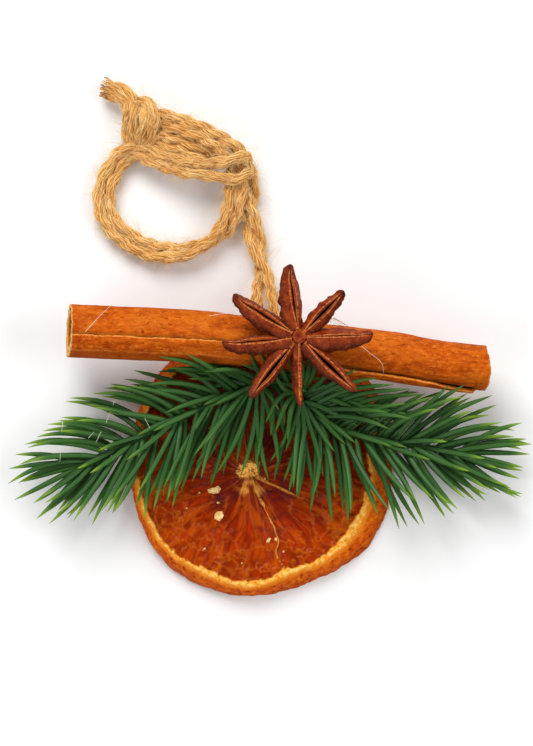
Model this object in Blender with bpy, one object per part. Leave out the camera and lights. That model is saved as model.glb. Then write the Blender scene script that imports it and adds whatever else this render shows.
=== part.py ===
"""A hanging ornament of a dried orange slice, lying on its back.

Metres, +Z up and +Y towards the hanger. The origin is the middle of the slice's back face.
From the back to the front it holds the slice, two sprigs of moulded pine needles, a rolled
cinnamon stick, a star anise, and a hanger of jute twine folded double and knotted in a ring.
"""

import math
import random

import bmesh
import bpy
from mathutils import Vector

MM = 0.001
GAP = 0.3 * MM

# Orange slice: its back outline is wider than its front one, so the peel leans outwards.
SLICE_SIDES = 48
SLICE_BACK_RADIUS = 29.2 * MM
SLICE_FRONT_RADIUS = 26.3 * MM
SLICE_FRONT_SHIFT = -1.5 * MM
SLICE_THICKNESS = 5.0 * MM
SLICE_RIM_WAVE = 0.3 * MM
FLESH_HEIGHT = 3.5 * MM
BACK_RECESS = 0.6 * MM
MEMBRANE_HEIGHT = 0.7 * MM
MEMBRANE_HALF_WIDTH = 0.9 * MM
CORE_RADIUS = 2.2 * MM
CORE_SHIFT = Vector((-1.9, -1.5, 0.0)) * MM
MEMBRANE_ANGLES = (15, 60, 105, 150, 192, 243, 287, 330)
# Each bulge of an outline: its direction in degrees, how far it stands out, its spread in degrees.
BACK_BULGES = ((135, 1.2 * MM, 20), (38, 1.6 * MM, 20), (222, 0.9 * MM, 16),
               (330, 1.0 * MM, 16), (180, -1.2 * MM, 25), (292, -1.0 * MM, 14))
FRONT_BULGES = ((222, 0.4 * MM, 12), (262, 0.9 * MM, 9), (288, -0.7 * MM, 7),
                (330, 1.3 * MM, 18), (38, 0.8 * MM, 20), (135, 0.8 * MM, 20))

# Cinnamon stick: one strip of bark rolled up, its outer edge drifting round the roll.
STICK_START = Vector((-41.7, 30.0, 15.2)) * MM
STICK_ROUTE = ((-13.4, 28.7, 13.9), (-5.1, 27.9, 13.5), (25.7, 25.1, 12.2), (37.0, 22.9, 11.7))
STICK_END = Vector((50.6, 21.1, 11.1)) * MM
STICK_STATIONS = 11
STICK_LEFT_RADIUS = 5.9 * MM
STICK_RIGHT_RADIUS = 4.9 * MM
BARK_THICKNESS = 1.0 * MM
BARK_PITCH = 1.35 * MM
BARK_TURNS = 1.7
BARK_STEP = 18
LIP_LEFT_ANGLE = -9
LIP_MIDDLE_ANGLE = -58
LIP_RIGHT_ANGLE = -84
LIP_STAND_OFF = 0.32 * MM
STICK_CUT_SLOPE = 0.09

# Star anise: eight boat-shaped pods, each with its direction and roll in degrees, its length,
# how far its slit gapes, and its share of the full width.
ANISE_CENTRE = Vector((8.8, 28.4, 23.6)) * MM
ANISE_PODS = ((97.3, 30, 16.0 * MM, 0.35 * MM, 1.0), (45.4, -4, 13.8 * MM, 0.5 * MM, 0.9),
              (0.5, -34, 16.0 * MM, 0.1 * MM, 1.0), (-44.4, -10, 17.1 * MM, 0.9 * MM, 0.95),
              (-89.6, -20, 15.3 * MM, 0.05 * MM, 0.55), (230.6, -12, 17.1 * MM, 0.75 * MM, 0.95),
              (186.4, 32, 16.9 * MM, 0.25 * MM, 1.0), (147.9, 34, 17.1 * MM, 0.4 * MM, 1.05))
POD_HALF_WIDTH = 2.3 * MM
POD_HEIGHT = 4.6 * MM
POD_STATIONS = 7
HUB_RADIUS = 1.7 * MM
HUB_HEIGHT = 4.8 * MM

# Pine sprigs: a stem with needles set round it in whorls, a last whorl at its end, and a collar
# that fans out from its start. Each rank of needles has its direction round the stem in degrees:
# 0 is the slice's side, 90 is the front.
NEEDLE_HALF_WIDTH = 0.65 * MM
NEEDLE_HALF_DEPTH = 0.45 * MM
NEEDLE_STEPS = 3
NEEDLE_FLOOR = 6.2 * MM
NEEDLE_CEILING = 17.5 * MM
LOWER_RANKS = (0, 26)
UPPER_RANKS = (154, 180)
# How far needles stand off the stem's direction, in degrees, and their length in millimetres, at
# these shares of the stem's length.
STEM_SHARES = (0.0, 0.1, 0.3, 0.5, 0.65, 0.75, 0.9, 1.0)
LOWER_SPREADS = (52, 46, 47, 50, 44, 36, 22, 12)
LOWER_LENGTHS = (21.0, 22.0, 22.5, 22.0, 21.5, 21.0, 18.5, 16.5)
UPPER_SPREADS = (44, 46, 48, 47, 46, 42, 25, 12)
UPPER_LENGTHS = (17.0, 18.5, 20.0, 20.5, 20.5, 20.0, 18.5, 16.5)
LOWER_BEND_AT_START = 10.0
LOWER_BEND_AT_END = -24.0
UPPER_BEND = -34.0
TIP_SPREADS = (-30, -12, 5, 22)
TIP_LENGTH = 14.6 * MM
STEM_RADIUS = 0.8 * MM
WHORLS = 12
LEFT_STEM = ((1.2, 19.0, 8.6), (-2.9, 17.8, 8.6), (-9.7, 14.3, 8.4), (-19.1, 9.5, 8.0),
             (-28.2, 5.1, 7.6), (-38.7, 0.4, 7.4))
RIGHT_STEM = ((8.4, 16.0, 8.6), (13.2, 10.8, 8.5), (18.6, 7.8, 8.4), (27.1, 5.7, 8.0),
              (34.7, 4.4, 7.6), (43.9, 2.9, 7.4))
# Each collar needle: its direction in degrees and its length in millimetres. They stand in three
# layers, one step apart.
COLLAR_STEP = 0.4 * MM
LEFT_COLLAR = ((206, 13.0), (238, 20.0), (254, 19.0), (266, 17.5), (277, 22.0))
RIGHT_COLLAR = ((240, 17.0), (256, 18.5), (268, 22.5), (280, 22.5), (296, 17.0))

# Hanger: jute twine folded double, so the pair is as wide as two twines.
CORD_DIAMETER = 4.4 * MM
CORD_POINT_SPACING = 1.3
STEM_ROUTE = ((1.4, 31.6, 6.3), (1.2, 36.5, 5.4), (0.9, 40.9, 4.0), (0.4, 44.9, 3.0),
              (-0.8, 49.7, 2.6), (-1.6, 54.1, 2.6), (-1.9, 58.0, 2.6))
RING_ROUTE = ((-29.4, 68.8, 3.0), (-31.7, 66.2, 2.6), (-33.6, 62.8, 2.5), (-34.3, 59.0, 2.5),
              (-33.6, 55.2, 2.5), (-30.7, 51.4, 2.5), (-26.3, 48.5, 2.5), (-21.1, 47.1, 2.5),
              (-15.9, 47.4, 2.5), (-10.9, 49.6, 2.6), (-7.6, 52.4, 3.6), (-6.0, 55.8, 5.2),
              (-5.4, 59.2, 5.7))
TAIL_ROUTE = ((-28.7, 80.6, 4.3), (-30.0, 81.8, 3.4), (-32.3, 82.8, 2.8), (-34.9, 83.6, 2.6))
# Knot: its spine from the right end to the left, with its half width and half thickness.
KNOT_SPINE = ((-0.6, 63.6, 4.6, 2.6, 2.6), (-2.6, 64.9, 4.8, 4.9, 4.4), (-7.6, 66.6, 4.7, 6.0, 4.5),
              (-13.6, 68.4, 4.6, 6.4, 4.4), (-19.2, 70.6, 4.5, 5.8, 4.2), (-24.2, 72.0, 4.4, 4.8, 4.1),
              (-27.6, 72.6, 4.2, 2.6, 2.8))
STOPPER_CENTRE = Vector((-25.6, 76.4, 4.7)) * MM
STOPPER_SIZE = Vector((3.9, 5.2, 4.3)) * MM


def clear_scene():
    for thing in list(bpy.data.objects):
        bpy.data.objects.remove(thing, do_unlink=True)


def new_collection(name):
    group = bpy.data.collections.new(name)
    bpy.context.scene.collection.children.link(group)
    return group


def new_material(name, colour, roughness):
    material = bpy.data.materials.new(name)
    material.use_nodes = True
    shader = material.node_tree.nodes["Principled BSDF"]
    shader.inputs["Base Color"].default_value = (*colour, 1.0)
    shader.inputs["Roughness"].default_value = roughness
    shader.inputs["Metallic"].default_value = 0.0
    return material


def new_object(name, mesh, material, group):
    thing = bpy.data.objects.new(name, mesh)
    thing.data.materials.clear()
    thing.data.materials.append(material)
    group.objects.link(thing)
    return thing


def finish_mesh(mesh, sharp_angle):
    mesh.shade_smooth()
    mesh.set_sharp_from_angle(angle=math.radians(sharp_angle))


def lerp(start, end, share):
    return start + (end - start) * share


def ease(value):
    value = min(max(value, 0.0), 1.0)
    return value * value * (3.0 - 2.0 * value)


def bell(degrees, middle, spread):
    apart = (degrees - middle + 180.0) % 360.0 - 180.0
    return math.exp(-0.5 * (apart / spread) ** 2)


def smooth_route(points, count):
    """Points evenly spread along a Catmull-Rom curve through the given ones."""
    knots = [Vector(point) for point in points]
    knots = [2.0 * knots[0] - knots[1]] + knots + [2.0 * knots[-1] - knots[-2]]
    dense = []
    for index in range(1, len(knots) - 2):
        before, start, end, after = knots[index - 1:index + 3]
        for step in range(12):
            share = step / 12
            dense.append(0.5 * (2.0 * start + (end - before) * share
                                + (2.0 * before - 5.0 * start + 4.0 * end - after) * share ** 2
                                + (3.0 * start - before - 3.0 * end + after) * share ** 3))
    dense.append(knots[-2])
    travelled = [0.0]
    for start, end in zip(dense, dense[1:]):
        travelled.append(travelled[-1] + (end - start).length)
    route = []
    segment = 0
    for index in range(count):
        wanted = travelled[-1] * index / (count - 1)
        while segment < len(dense) - 2 and travelled[segment + 1] < wanted:
            segment += 1
        share = (wanted - travelled[segment]) / (travelled[segment + 1] - travelled[segment])
        route.append(dense[segment].lerp(dense[segment + 1], share))
    return route


def tangents(route):
    directions = []
    for index in range(len(route)):
        ahead = route[min(index + 1, len(route) - 1)]
        behind = route[max(index - 1, 0)]
        directions.append((ahead - behind).normalized())
    return directions


def loft(bm, sections):
    """A closed body through sections with the same number of points."""
    rows = [[bm.verts.new(point) for point in section] for section in sections]
    count = len(rows[0])
    for row, following in zip(rows, rows[1:]):
        for index in range(count):
            beside = (index + 1) % count
            bm.faces.new((row[index], row[beside], following[beside], following[index]))
    bm.faces.new(list(reversed(rows[0])))
    bm.faces.new(rows[-1])


def loft_mesh(name, section_lists, sharp_angle):
    bm = bmesh.new()
    for sections in section_lists:
        loft(bm, sections)
    bmesh.ops.recalc_face_normals(bm, faces=bm.faces)
    bmesh.ops.triangulate(bm, faces=bm.faces)
    mesh = bpy.data.meshes.new(name)
    bm.to_mesh(mesh)
    bm.free()
    finish_mesh(mesh, sharp_angle)
    return mesh


# ---------------------------------------------------------------- orange slice


def back_radius(degrees):
    bulge = sum(height * bell(degrees, middle, spread) for middle, height, spread in BACK_BULGES)
    return SLICE_BACK_RADIUS + bulge


def front_radius(degrees):
    bulge = sum(height * bell(degrees, middle, spread) for middle, height, spread in FRONT_BULGES)
    return SLICE_FRONT_RADIUS + SLICE_FRONT_SHIFT * math.cos(math.radians(degrees)) + bulge


def membrane(degrees, radius):
    """How much of a membrane's height stands at a place on the flesh, from 0 to 1."""
    spread = math.degrees(MEMBRANE_HALF_WIDTH / max(radius, CORE_RADIUS))
    return max(bell(degrees, middle, spread) for middle in MEMBRANE_ANGLES)


def slice_ring(place, side):
    """One point of the slice's profile, from the back's core round the peel to the front's core."""
    degrees = 360.0 * side / SLICE_SIDES
    back = back_radius(degrees)
    front = front_radius(degrees)
    rim = SLICE_THICKNESS + SLICE_RIM_WAVE * math.sin(math.radians(3.0 * degrees + 40.0))
    profile = {
        "back core": (CORE_RADIUS, 0.0),
        "back core edge": (1.4 * CORE_RADIUS, 0.0),
        "back dip": (2.0 * CORE_RADIUS, BACK_RECESS),
        "back flesh 1": (0.45 * back, BACK_RECESS),
        "back flesh 2": (0.72 * back, BACK_RECESS),
        "back flesh 3": (0.88 * back, BACK_RECESS),
        "back rim": (0.92 * back, 0.0),
        "back edge": (back - 0.5 * MM, 0.0),
        "peel foot": (back, 0.6 * MM),
        "peel": (lerp(back, front, 0.42) + 0.3 * MM, 0.5 * rim),
        "peel top": (front + 0.4 * MM, rim - 0.5 * MM),
        "front edge": (front - 0.3 * MM, rim),
        "pith": (front - 1.5 * MM, rim - 0.3 * MM),
        "flesh edge": (front - 2.5 * MM, FLESH_HEIGHT + 0.2 * MM),
        "flesh 3": (0.75 * front, FLESH_HEIGHT - 0.3 * MM),
        "flesh 2": (0.52 * front, FLESH_HEIGHT - 0.3 * MM),
        "flesh 1": (0.30 * front, FLESH_HEIGHT),
        "core foot": (1.6 * CORE_RADIUS, FLESH_HEIGHT + 0.6 * MM),
        "core top": (0.7 * CORE_RADIUS, FLESH_HEIGHT + 1.3 * MM),
    }
    radius, height = profile[place]
    if place.startswith("flesh"):
        height += MEMBRANE_HEIGHT * membrane(degrees, radius)
    if place.startswith("back flesh"):
        height -= BACK_RECESS * 0.8 * membrane(degrees, radius)
    angle = math.radians(degrees)
    centre = CORE_SHIFT * (1.0 - ease(radius / (0.7 * front)))
    return centre + Vector((radius * math.cos(angle), radius * math.sin(angle), height))


SLICE_PLACES = ("back core", "back core edge", "back dip", "back flesh 1", "back flesh 2",
                "back flesh 3", "back rim", "back edge", "peel foot", "peel", "peel top",
                "front edge", "pith", "flesh edge", "flesh 3", "flesh 2", "flesh 1",
                "core foot", "core top")


def build_orange_slice(group):
    rings = [[slice_ring(place, side) for side in range(SLICE_SIDES)] for place in SLICE_PLACES]
    mesh = loft_mesh("orange_slice", [rings], 50)
    material = new_material("dried_orange", (0.42, 0.09, 0.01), 0.35)
    return new_object("orange_slice", mesh, material, group)


# -------------------------------------------------------------- cinnamon stick


def stick_points():
    return [STICK_START] + [Vector(point) * MM for point in STICK_ROUTE] + [STICK_END]


def bark_section(centre, tangent, share):
    """The rolled strip's closed outline square to the stick, outer side then inner side."""
    across = (Vector((0.0, 1.0, 0.0)) - tangent * tangent.y).normalized()
    front = tangent.cross(across)
    radius = lerp(STICK_LEFT_RADIUS, STICK_RIGHT_RADIUS, share)
    lip = lerp(LIP_LEFT_ANGLE, LIP_MIDDLE_ANGLE, ease((share - 0.35) / 0.4))
    lip = math.radians(lerp(lip, LIP_RIGHT_ANGLE, ease((share - 0.86) / 0.12)))
    stand_off = LIP_STAND_OFF * ease((share - 0.45) / 0.3)
    outer = []
    inner = []
    for turned in range(0, int(360 * BARK_TURNS) + 1, BARK_STEP):
        roll_radius = radius - BARK_PITCH * (turned / 360.0 - 0.5)
        roll_radius += stand_off * (1.0 - ease(turned / 110.0))
        angle = lip - math.radians(turned)
        direction = front * math.cos(angle) + across * math.sin(angle)
        outer.append(centre + direction * roll_radius)
        inner.append(centre + direction * (roll_radius - BARK_THICKNESS))
    return outer + list(reversed(inner))


def build_cinnamon_stick(group):
    route = smooth_route(stick_points(), STICK_STATIONS)
    sections = []
    for index, (centre, tangent) in enumerate(zip(route, tangents(route))):
        sections.append(bark_section(centre, tangent, index / (STICK_STATIONS - 1)))
    sections[0] = [point + Vector(((point.z - route[0].z) * STICK_CUT_SLOPE, 0.0, 0.0))
                   for point in sections[0]]
    mesh = loft_mesh("cinnamon_stick", [sections], 40)
    material = new_material("cinnamon_bark", (0.55, 0.14, 0.02), 0.7)
    return new_object("cinnamon_stick", mesh, material, group)


# ------------------------------------------------------------------ star anise


def pod_sections(degrees, roll, length, gape, width):
    """Sections of one pod from the hub to its beak: keel, sides, two lips and the slit between."""
    along = Vector((math.cos(math.radians(degrees)), math.sin(math.radians(degrees)), 0.0))
    side = Vector((-along.y, along.x, 0.0))
    roll = math.radians(roll)
    across = side * math.cos(roll) + Vector((0.0, 0.0, math.sin(roll)))
    up = Vector((0.0, 0.0, math.cos(roll))) - side * math.sin(roll)
    sections = []
    for station in range(POD_STATIONS):
        share = station / (POD_STATIONS - 1)
        belly = math.sin(math.pi * min(0.12 + 0.88 * share ** 0.9, 1.0)) ** 0.75
        half = lerp(0.25 * MM, POD_HALF_WIDTH, belly) * width
        deep = lerp(0.7 * MM, POD_HEIGHT, belly)
        lip = 0.35 * MM + 0.5 * gape * math.sin(math.pi * share) ** 1.5
        slit = min(0.35 * deep, 1.6 * MM) * (0.25 + 0.75 * math.sin(math.pi * share))
        rise = 1.1 * MM * share ** 2
        base = ANISE_CENTRE + along * (length * lerp(0.03, 1.0, share)) + up * rise
        brim = min(lip + 0.25 * MM, 0.9 * half)
        mouth = min(0.6 * lip, 0.4 * half)
        flank = ((0.92 * half, -0.5 * deep), (brim, 0.0), (mouth, -0.12 * slit))
        outline = [(0.0, -deep), *flank, (0.0, -slit)]
        outline += [(-wide, high) for wide, high in reversed(flank)]
        sections.append([base + across * wide + up * high for wide, high in outline])
    return sections


def join_bodies(base, others):
    """Join other closed bodies to the base with Boolean unions."""
    for other in others:
        other.hide_render = True
        other.display_type = "WIRE"
        modifier = base.modifiers.new("join " + other.name, "BOOLEAN")
        modifier.operation = "UNION"
        modifier.solver = "EXACT"
        modifier.use_self = True
        modifier.object = other


def build_star_anise(group, cutters):
    material = new_material("anise_pod", (0.20, 0.05, 0.02), 0.45)
    bm = bmesh.new()
    bmesh.ops.create_cone(bm, cap_ends=True, segments=16, radius1=HUB_RADIUS * 0.8,
                          radius2=HUB_RADIUS, depth=HUB_HEIGHT)
    bmesh.ops.translate(bm, verts=bm.verts, vec=ANISE_CENTRE - Vector((0.0, 0.0, 0.5 * HUB_HEIGHT)))
    hub_mesh = bpy.data.meshes.new("star_anise")
    bm.to_mesh(hub_mesh)
    bm.free()
    finish_mesh(hub_mesh, 50)
    anise = new_object("star_anise", hub_mesh, material, group)
    pods = []
    for number, pod in enumerate(ANISE_PODS):
        mesh = loft_mesh("anise_pod_%d" % number, [pod_sections(*pod)], 50)
        pods.append(new_object("anise_pod_%d" % number, mesh, material, cutters))
    join_bodies(anise, pods)


# ----------------------------------------------------------------- pine sprigs


def needle_route(root, tangent, outward, spread, bend, length):
    """A needle leaves the stem at the spread angle, which changes by the bend along it."""
    point = root.copy()
    points = [root]
    for step in range(NEEDLE_STEPS):
        angle = math.radians(spread + bend * (step + 0.5) / NEEDLE_STEPS)
        heading = tangent * math.cos(angle) + outward * math.sin(angle)
        point = point + heading * (length / NEEDLE_STEPS)
        point.z = min(max(point.z, NEEDLE_FLOOR), NEEDLE_CEILING)
        points.append(point)
    return points


def dense_points(route):
    points = []
    for start, end in zip(route, route[1:]):
        count = max(int((end - start).length / MM), 1)
        points += [start.lerp(end, step / count) for step in range(count)]
    return points + [route[-1]]


def nearest(points, others):
    return min((point - other).length for point in points for other in others)


def shortened(route, share):
    """The same needle cut to a share of its length."""
    length = share * (len(route) - 1)
    points = []
    for step in range(len(route)):
        place = length * step / (len(route) - 1)
        index = min(int(place), len(route) - 2)
        points.append(route[index].lerp(route[index + 1], place - index))
    return points


def fitted_needle(route, stick_route, taken):
    """Shorten a needle until it clears the stick and the other sprig, or leave it out."""
    stick_reach = STICK_LEFT_RADIUS + LIP_STAND_OFF + NEEDLE_HALF_WIDTH + 2.0 * GAP
    needle_reach = 2.0 * NEEDLE_HALF_WIDTH + 2.0 * GAP
    for share in (1.0, 0.9, 0.8, 0.7, 0.6, 0.5, 0.4, 0.3):
        fitted = shortened(route, share)
        points = dense_points(fitted)
        clear_of_stick = nearest(points, stick_route) > stick_reach
        if clear_of_stick and (not taken or nearest(points, taken) > needle_reach):
            return fitted
    return None


def needle_sections(route):
    sections = []
    for index, (point, tangent) in enumerate(zip(route, tangents(route))):
        share = index / (len(route) - 1)
        taper = 1.0 - 0.85 * share ** 3
        across = tangent.cross(Vector((0.0, 0.0, 1.0))).normalized()
        above = across.cross(tangent)
        sections.append([point + across * (NEEDLE_HALF_WIDTH * taper),
                         point + above * (NEEDLE_HALF_DEPTH * taper),
                         point - across * (NEEDLE_HALF_WIDTH * taper)])
    return sections


def along_stem(values, share):
    """The value at a share of the stem's length, between the listed ones."""
    for index in range(len(STEM_SHARES) - 1):
        start, end = STEM_SHARES[index:index + 2]
        if share <= end:
            return lerp(values[index], values[index + 1], (share - start) / (end - start))
    return values[-1]


def side_needle(share, lower, rng):
    """Spread, bend and length of a needle beside the stem."""
    if lower:
        spreads, lengths = LOWER_SPREADS, LOWER_LENGTHS
        bend = lerp(LOWER_BEND_AT_START, LOWER_BEND_AT_END, share)
    else:
        spreads, lengths = UPPER_SPREADS, UPPER_LENGTHS
        bend = UPPER_BEND
    middle = along_stem(spreads, share) + rng.uniform(-6.0, 6.0)
    length = along_stem(lengths, share) * MM * rng.uniform(0.80, 1.03)
    return middle - 0.5 * bend, bend, length


def whorl_needles(stem, rng, base_side):
    """Routes of the needles that grow in whorls along the stem and at its end."""
    directions = tangents(stem)
    up = Vector((0.0, 0.0, 1.0))
    routes = []
    for whorl in range(WHORLS):
        share = (whorl + 0.5) / WHORLS
        place = share * (len(stem) - 1)
        root = stem[int(place)].lerp(stem[int(place) + 1], place - int(place))
        tangent = directions[int(place)]
        lateral = tangent.cross(up).normalized() * base_side
        for rank in LOWER_RANKS + UPPER_RANKS:
            turn = math.radians(rank + rng.uniform(-9.0, 9.0))
            outward = lateral * math.cos(turn) + up * math.sin(turn)
            shape = side_needle(share, rank in LOWER_RANKS, rng)
            routes.append(needle_route(root, tangent, outward, *shape))
    outward = directions[-1].cross(up).normalized() * base_side
    for spread in TIP_SPREADS:
        routes.append(needle_route(stem[-1], directions[-1], outward, 1.6 * spread,
                                   -0.9 * spread, TIP_LENGTH))
    return routes


def collar_needles(stem, rng, collar):
    """Routes of the needles that fan out from the stem's start, in three layers."""
    routes = []
    for number, (degrees, length) in enumerate(collar):
        heading = math.radians(degrees)
        ahead = Vector((math.cos(heading), math.sin(heading), 0.0))
        aside = Vector((-ahead.y, ahead.x, 0.5)).normalized()
        root = stem[0] + Vector((0.0, 0.0, 1.0)) * (COLLAR_STEP * (number % 3))
        sway = rng.uniform(6.0, 14.0)
        routes.append(needle_route(root, ahead, aside, sway, -2.0 * sway, length * MM))
    return routes


def build_sprig(name, stem_points, collar, seed, base_side, taken, parts):
    """A sprig joined into one body; its needles' points are added to the taken space."""
    group, cutters = parts
    material = new_material(name, (0.03, 0.11, 0.04), 0.45)
    stem = smooth_route([Vector(point) * MM for point in stem_points], 10)
    up = Vector((0.0, 0.0, 1.0))
    sections = []
    for point, tangent in zip(stem, tangents(stem)):
        side = tangent.cross(up).normalized()
        above = side.cross(tangent)
        sections.append([point + (side * math.cos(turn) + above * math.sin(turn)) * STEM_RADIUS
                         for turn in (math.tau * corner / 6 for corner in range(6))])
    sprig = new_object(name, loft_mesh(name, [sections], 60), material, group)
    stick_route = smooth_route(stick_points(), 90)
    routes = []
    rng = random.Random(seed)
    for route in whorl_needles(stem, rng, base_side) + collar_needles(stem, rng, collar):
        fitted = fitted_needle(route, stick_route, taken)
        if fitted:
            routes.append(fitted)
    needle_mesh = loft_mesh(name + "_needles", [needle_sections(route) for route in routes], 60)
    needles = new_object(name + "_needles", needle_mesh, material, cutters)
    join_bodies(sprig, [needles])
    return [point for route in routes for point in dense_points(route)] + stem


# ---------------------------------------------------------------------- hanger


def build_cord(name, points, material, group):
    """A tube along a smooth curve through the route's points."""
    length = sum((Vector(end) - Vector(start)).length for start, end in zip(points, points[1:]))
    count = int(length * MM / (CORD_POINT_SPACING * CORD_DIAMETER)) + 3
    curve = bpy.data.curves.new(name, "CURVE")
    curve.dimensions = "3D"
    curve.bevel_depth = 0.5 * CORD_DIAMETER
    curve.bevel_resolution = 2
    curve.use_fill_caps = True
    route = smooth_route([Vector(point) * MM for point in points], count)
    spline = curve.splines.new("POLY")
    spline.points.add(len(route) - 1)
    for spline_point, point in zip(spline.points, route):
        spline_point.co = (*point, 1.0)
    cord = bpy.data.objects.new(name, curve)
    cord.data.materials.append(material)
    group.objects.link(cord)
    return cord


def build_knot(group, cutters, material):
    """The knot's outer shape: a long body lying on the ring's crossing, and a round stopper knot."""
    sections = []
    for x, y, z, half_width, half_thickness in KNOT_SPINE:
        centre = Vector((x, y, z)) * MM
        across = Vector((0.28, 0.96, 0.0)).normalized()
        section = []
        for corner in range(14):
            turn = math.tau * corner / 14
            section.append(centre + across * (half_width * MM * math.cos(turn))
                           + Vector((0.0, 0.0, half_thickness * MM * math.sin(turn))))
        sections.append(section)
    knot = new_object("hanger_knot", loft_mesh("hanger_knot", [sections], 60), material, group)
    bm = bmesh.new()
    bmesh.ops.create_uvsphere(bm, u_segments=14, v_segments=8, radius=1.0)
    for vert in bm.verts:
        vert.co = STOPPER_CENTRE + Vector((vert.co.x * STOPPER_SIZE.x, vert.co.y * STOPPER_SIZE.y,
                                           vert.co.z * STOPPER_SIZE.z))
    mesh = bpy.data.meshes.new("stopper_knot")
    bm.to_mesh(mesh)
    bm.free()
    finish_mesh(mesh, 60)
    stopper = new_object("stopper_knot", mesh, material, cutters)
    join_bodies(knot, [stopper])


def build_hanger(group, cutters):
    jute = new_material("jute_twine", (0.62, 0.38, 0.16), 0.9)
    build_cord("hanger_stem", STEM_ROUTE, jute, group)
    build_cord("hanger_ring", RING_ROUTE, jute, group)
    build_cord("hanger_tail", TAIL_ROUTE, jute, group)
    build_knot(group, cutters, jute)


def main():
    clear_scene()
    parts = new_collection("dried_orange_slice_ornament")
    cutters = new_collection("cutters")
    build_orange_slice(parts)
    build_cinnamon_stick(parts)
    build_star_anise(parts, cutters)
    taken = build_sprig("pine_sprig_left", LEFT_STEM, LEFT_COLLAR, 5, -1.0, [], (parts, cutters))
    build_sprig("pine_sprig_right", RIGHT_STEM, RIGHT_COLLAR, 8, 1.0, taken, (parts, cutters))
    build_hanger(parts, cutters)


main()
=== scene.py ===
"""Looks of the dried orange slice ornament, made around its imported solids.

Points are worked out in millimetres and written to the meshes in metres. +X is right, +Y is
towards the hanger, and +Z is out of the ornament's front, towards the camera.
"""
import itertools
import math
import random

import bmesh
import bpy
import numpy as np
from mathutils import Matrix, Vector


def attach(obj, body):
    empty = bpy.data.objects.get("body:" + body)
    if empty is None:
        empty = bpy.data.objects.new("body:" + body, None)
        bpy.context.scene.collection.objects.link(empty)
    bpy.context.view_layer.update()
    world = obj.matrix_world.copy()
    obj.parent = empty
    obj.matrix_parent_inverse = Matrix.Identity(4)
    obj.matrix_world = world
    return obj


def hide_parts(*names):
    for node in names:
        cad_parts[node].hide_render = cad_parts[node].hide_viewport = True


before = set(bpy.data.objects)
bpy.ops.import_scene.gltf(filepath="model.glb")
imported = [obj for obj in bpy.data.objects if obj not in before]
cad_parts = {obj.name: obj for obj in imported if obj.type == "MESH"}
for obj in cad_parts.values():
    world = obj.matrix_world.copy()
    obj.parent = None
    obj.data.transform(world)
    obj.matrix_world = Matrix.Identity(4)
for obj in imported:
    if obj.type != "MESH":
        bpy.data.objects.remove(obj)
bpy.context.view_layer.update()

MM = 0.001
TAU = math.tau
UP = np.array((0.0, 0.0, 1.0))
CURVE_STEPS = 24
# A direction that no tube runs along, from which its rings start.
TUBE_REFERENCE = np.array((0.31, 0.17, 0.93))

# ---- small tools


def lerp(start, end, share):
    return start + (end - start) * share


def ease(value):
    value = np.clip(value, 0.0, 1.0)
    return value * value * (3.0 - 2.0 * value)


def unit(vectors):
    return vectors / np.maximum(np.linalg.norm(vectors, axis=-1, keepdims=True), 1e-12)


def polar(theta, radius, height):
    """Points at an angle, a radius and a height."""
    return np.stack(np.broadcast_arrays(radius * np.cos(theta), radius * np.sin(theta), height),
                    axis=-1)


def line_place(distance, row):
    """A place for noise along a line, in a row of its own."""
    return np.stack([distance, np.full_like(distance, row), np.zeros_like(distance)], axis=-1)


def bell(degrees, middle, spread):
    apart = (degrees - middle + 180.0) % 360.0 - 180.0
    return np.exp(-0.5 * (apart / spread) ** 2)


def hashed(cells, seed):
    """A number from 0 to 1 for each triple of whole numbers."""
    mixed = cells[..., 0] * 374761393 + cells[..., 1] * 668265263
    mixed = mixed + cells[..., 2] * 1440662683 + seed * 1013904223
    mixed = (mixed ^ (mixed >> 13)) * 1274126177
    mixed = (mixed ^ (mixed >> 15)) * 374761393
    return ((mixed ^ (mixed >> 16)) & 0xFFFFFF) / 0xFFFFFF


def noise(points, seed=0):
    """Smooth noise from -1 to 1, with bumps about one unit apart."""
    cells = np.floor(points).astype(np.int64)
    part = points - cells
    part = part * part * (3.0 - 2.0 * part)
    total = 0.0
    for corner in itertools.product((0, 1), repeat=3):
        weight = np.ones(part.shape[:-1])
        for axis in range(3):
            weight = weight * (part[..., axis] if corner[axis] else 1.0 - part[..., axis])
        total = total + weight * hashed(cells + np.array(corner), seed)
    return 2.0 * total - 1.0


def fractal(points, octaves, seed):
    """Noise with finer noise on top of it."""
    total = 0.0
    for octave in range(octaves):
        total = total + noise(points * 2.0 ** octave, seed + octave) / 2.0 ** octave
    return total / 1.6


def cells(points, seed):
    """Distances to the nearest and second nearest of scattered points, and the nearest's tint."""
    base = np.floor(points).astype(np.int64)
    first = np.full(points.shape[:-1], 9.0)
    second = first.copy()
    tint = np.zeros(points.shape[:-1])
    for offset in itertools.product((-1, 0, 1), repeat=3):
        cell = base + np.array(offset)
        seeds = np.stack([hashed(cell, seed + axis) for axis in range(3)], axis=-1)
        apart = np.linalg.norm(cell + seeds - points, axis=-1)
        closer = apart < first
        second = np.where(closer, first, np.minimum(second, apart))
        tint = np.where(closer, hashed(cell, seed + 3), tint)
        first = np.where(closer, apart, first)
    return first, second, tint


def distances(route):
    """How far along a route each of its points is."""
    steps = np.linalg.norm(np.diff(route[:, :3], axis=0), axis=1)
    return np.concatenate([[0.0], np.cumsum(steps)])


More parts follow.
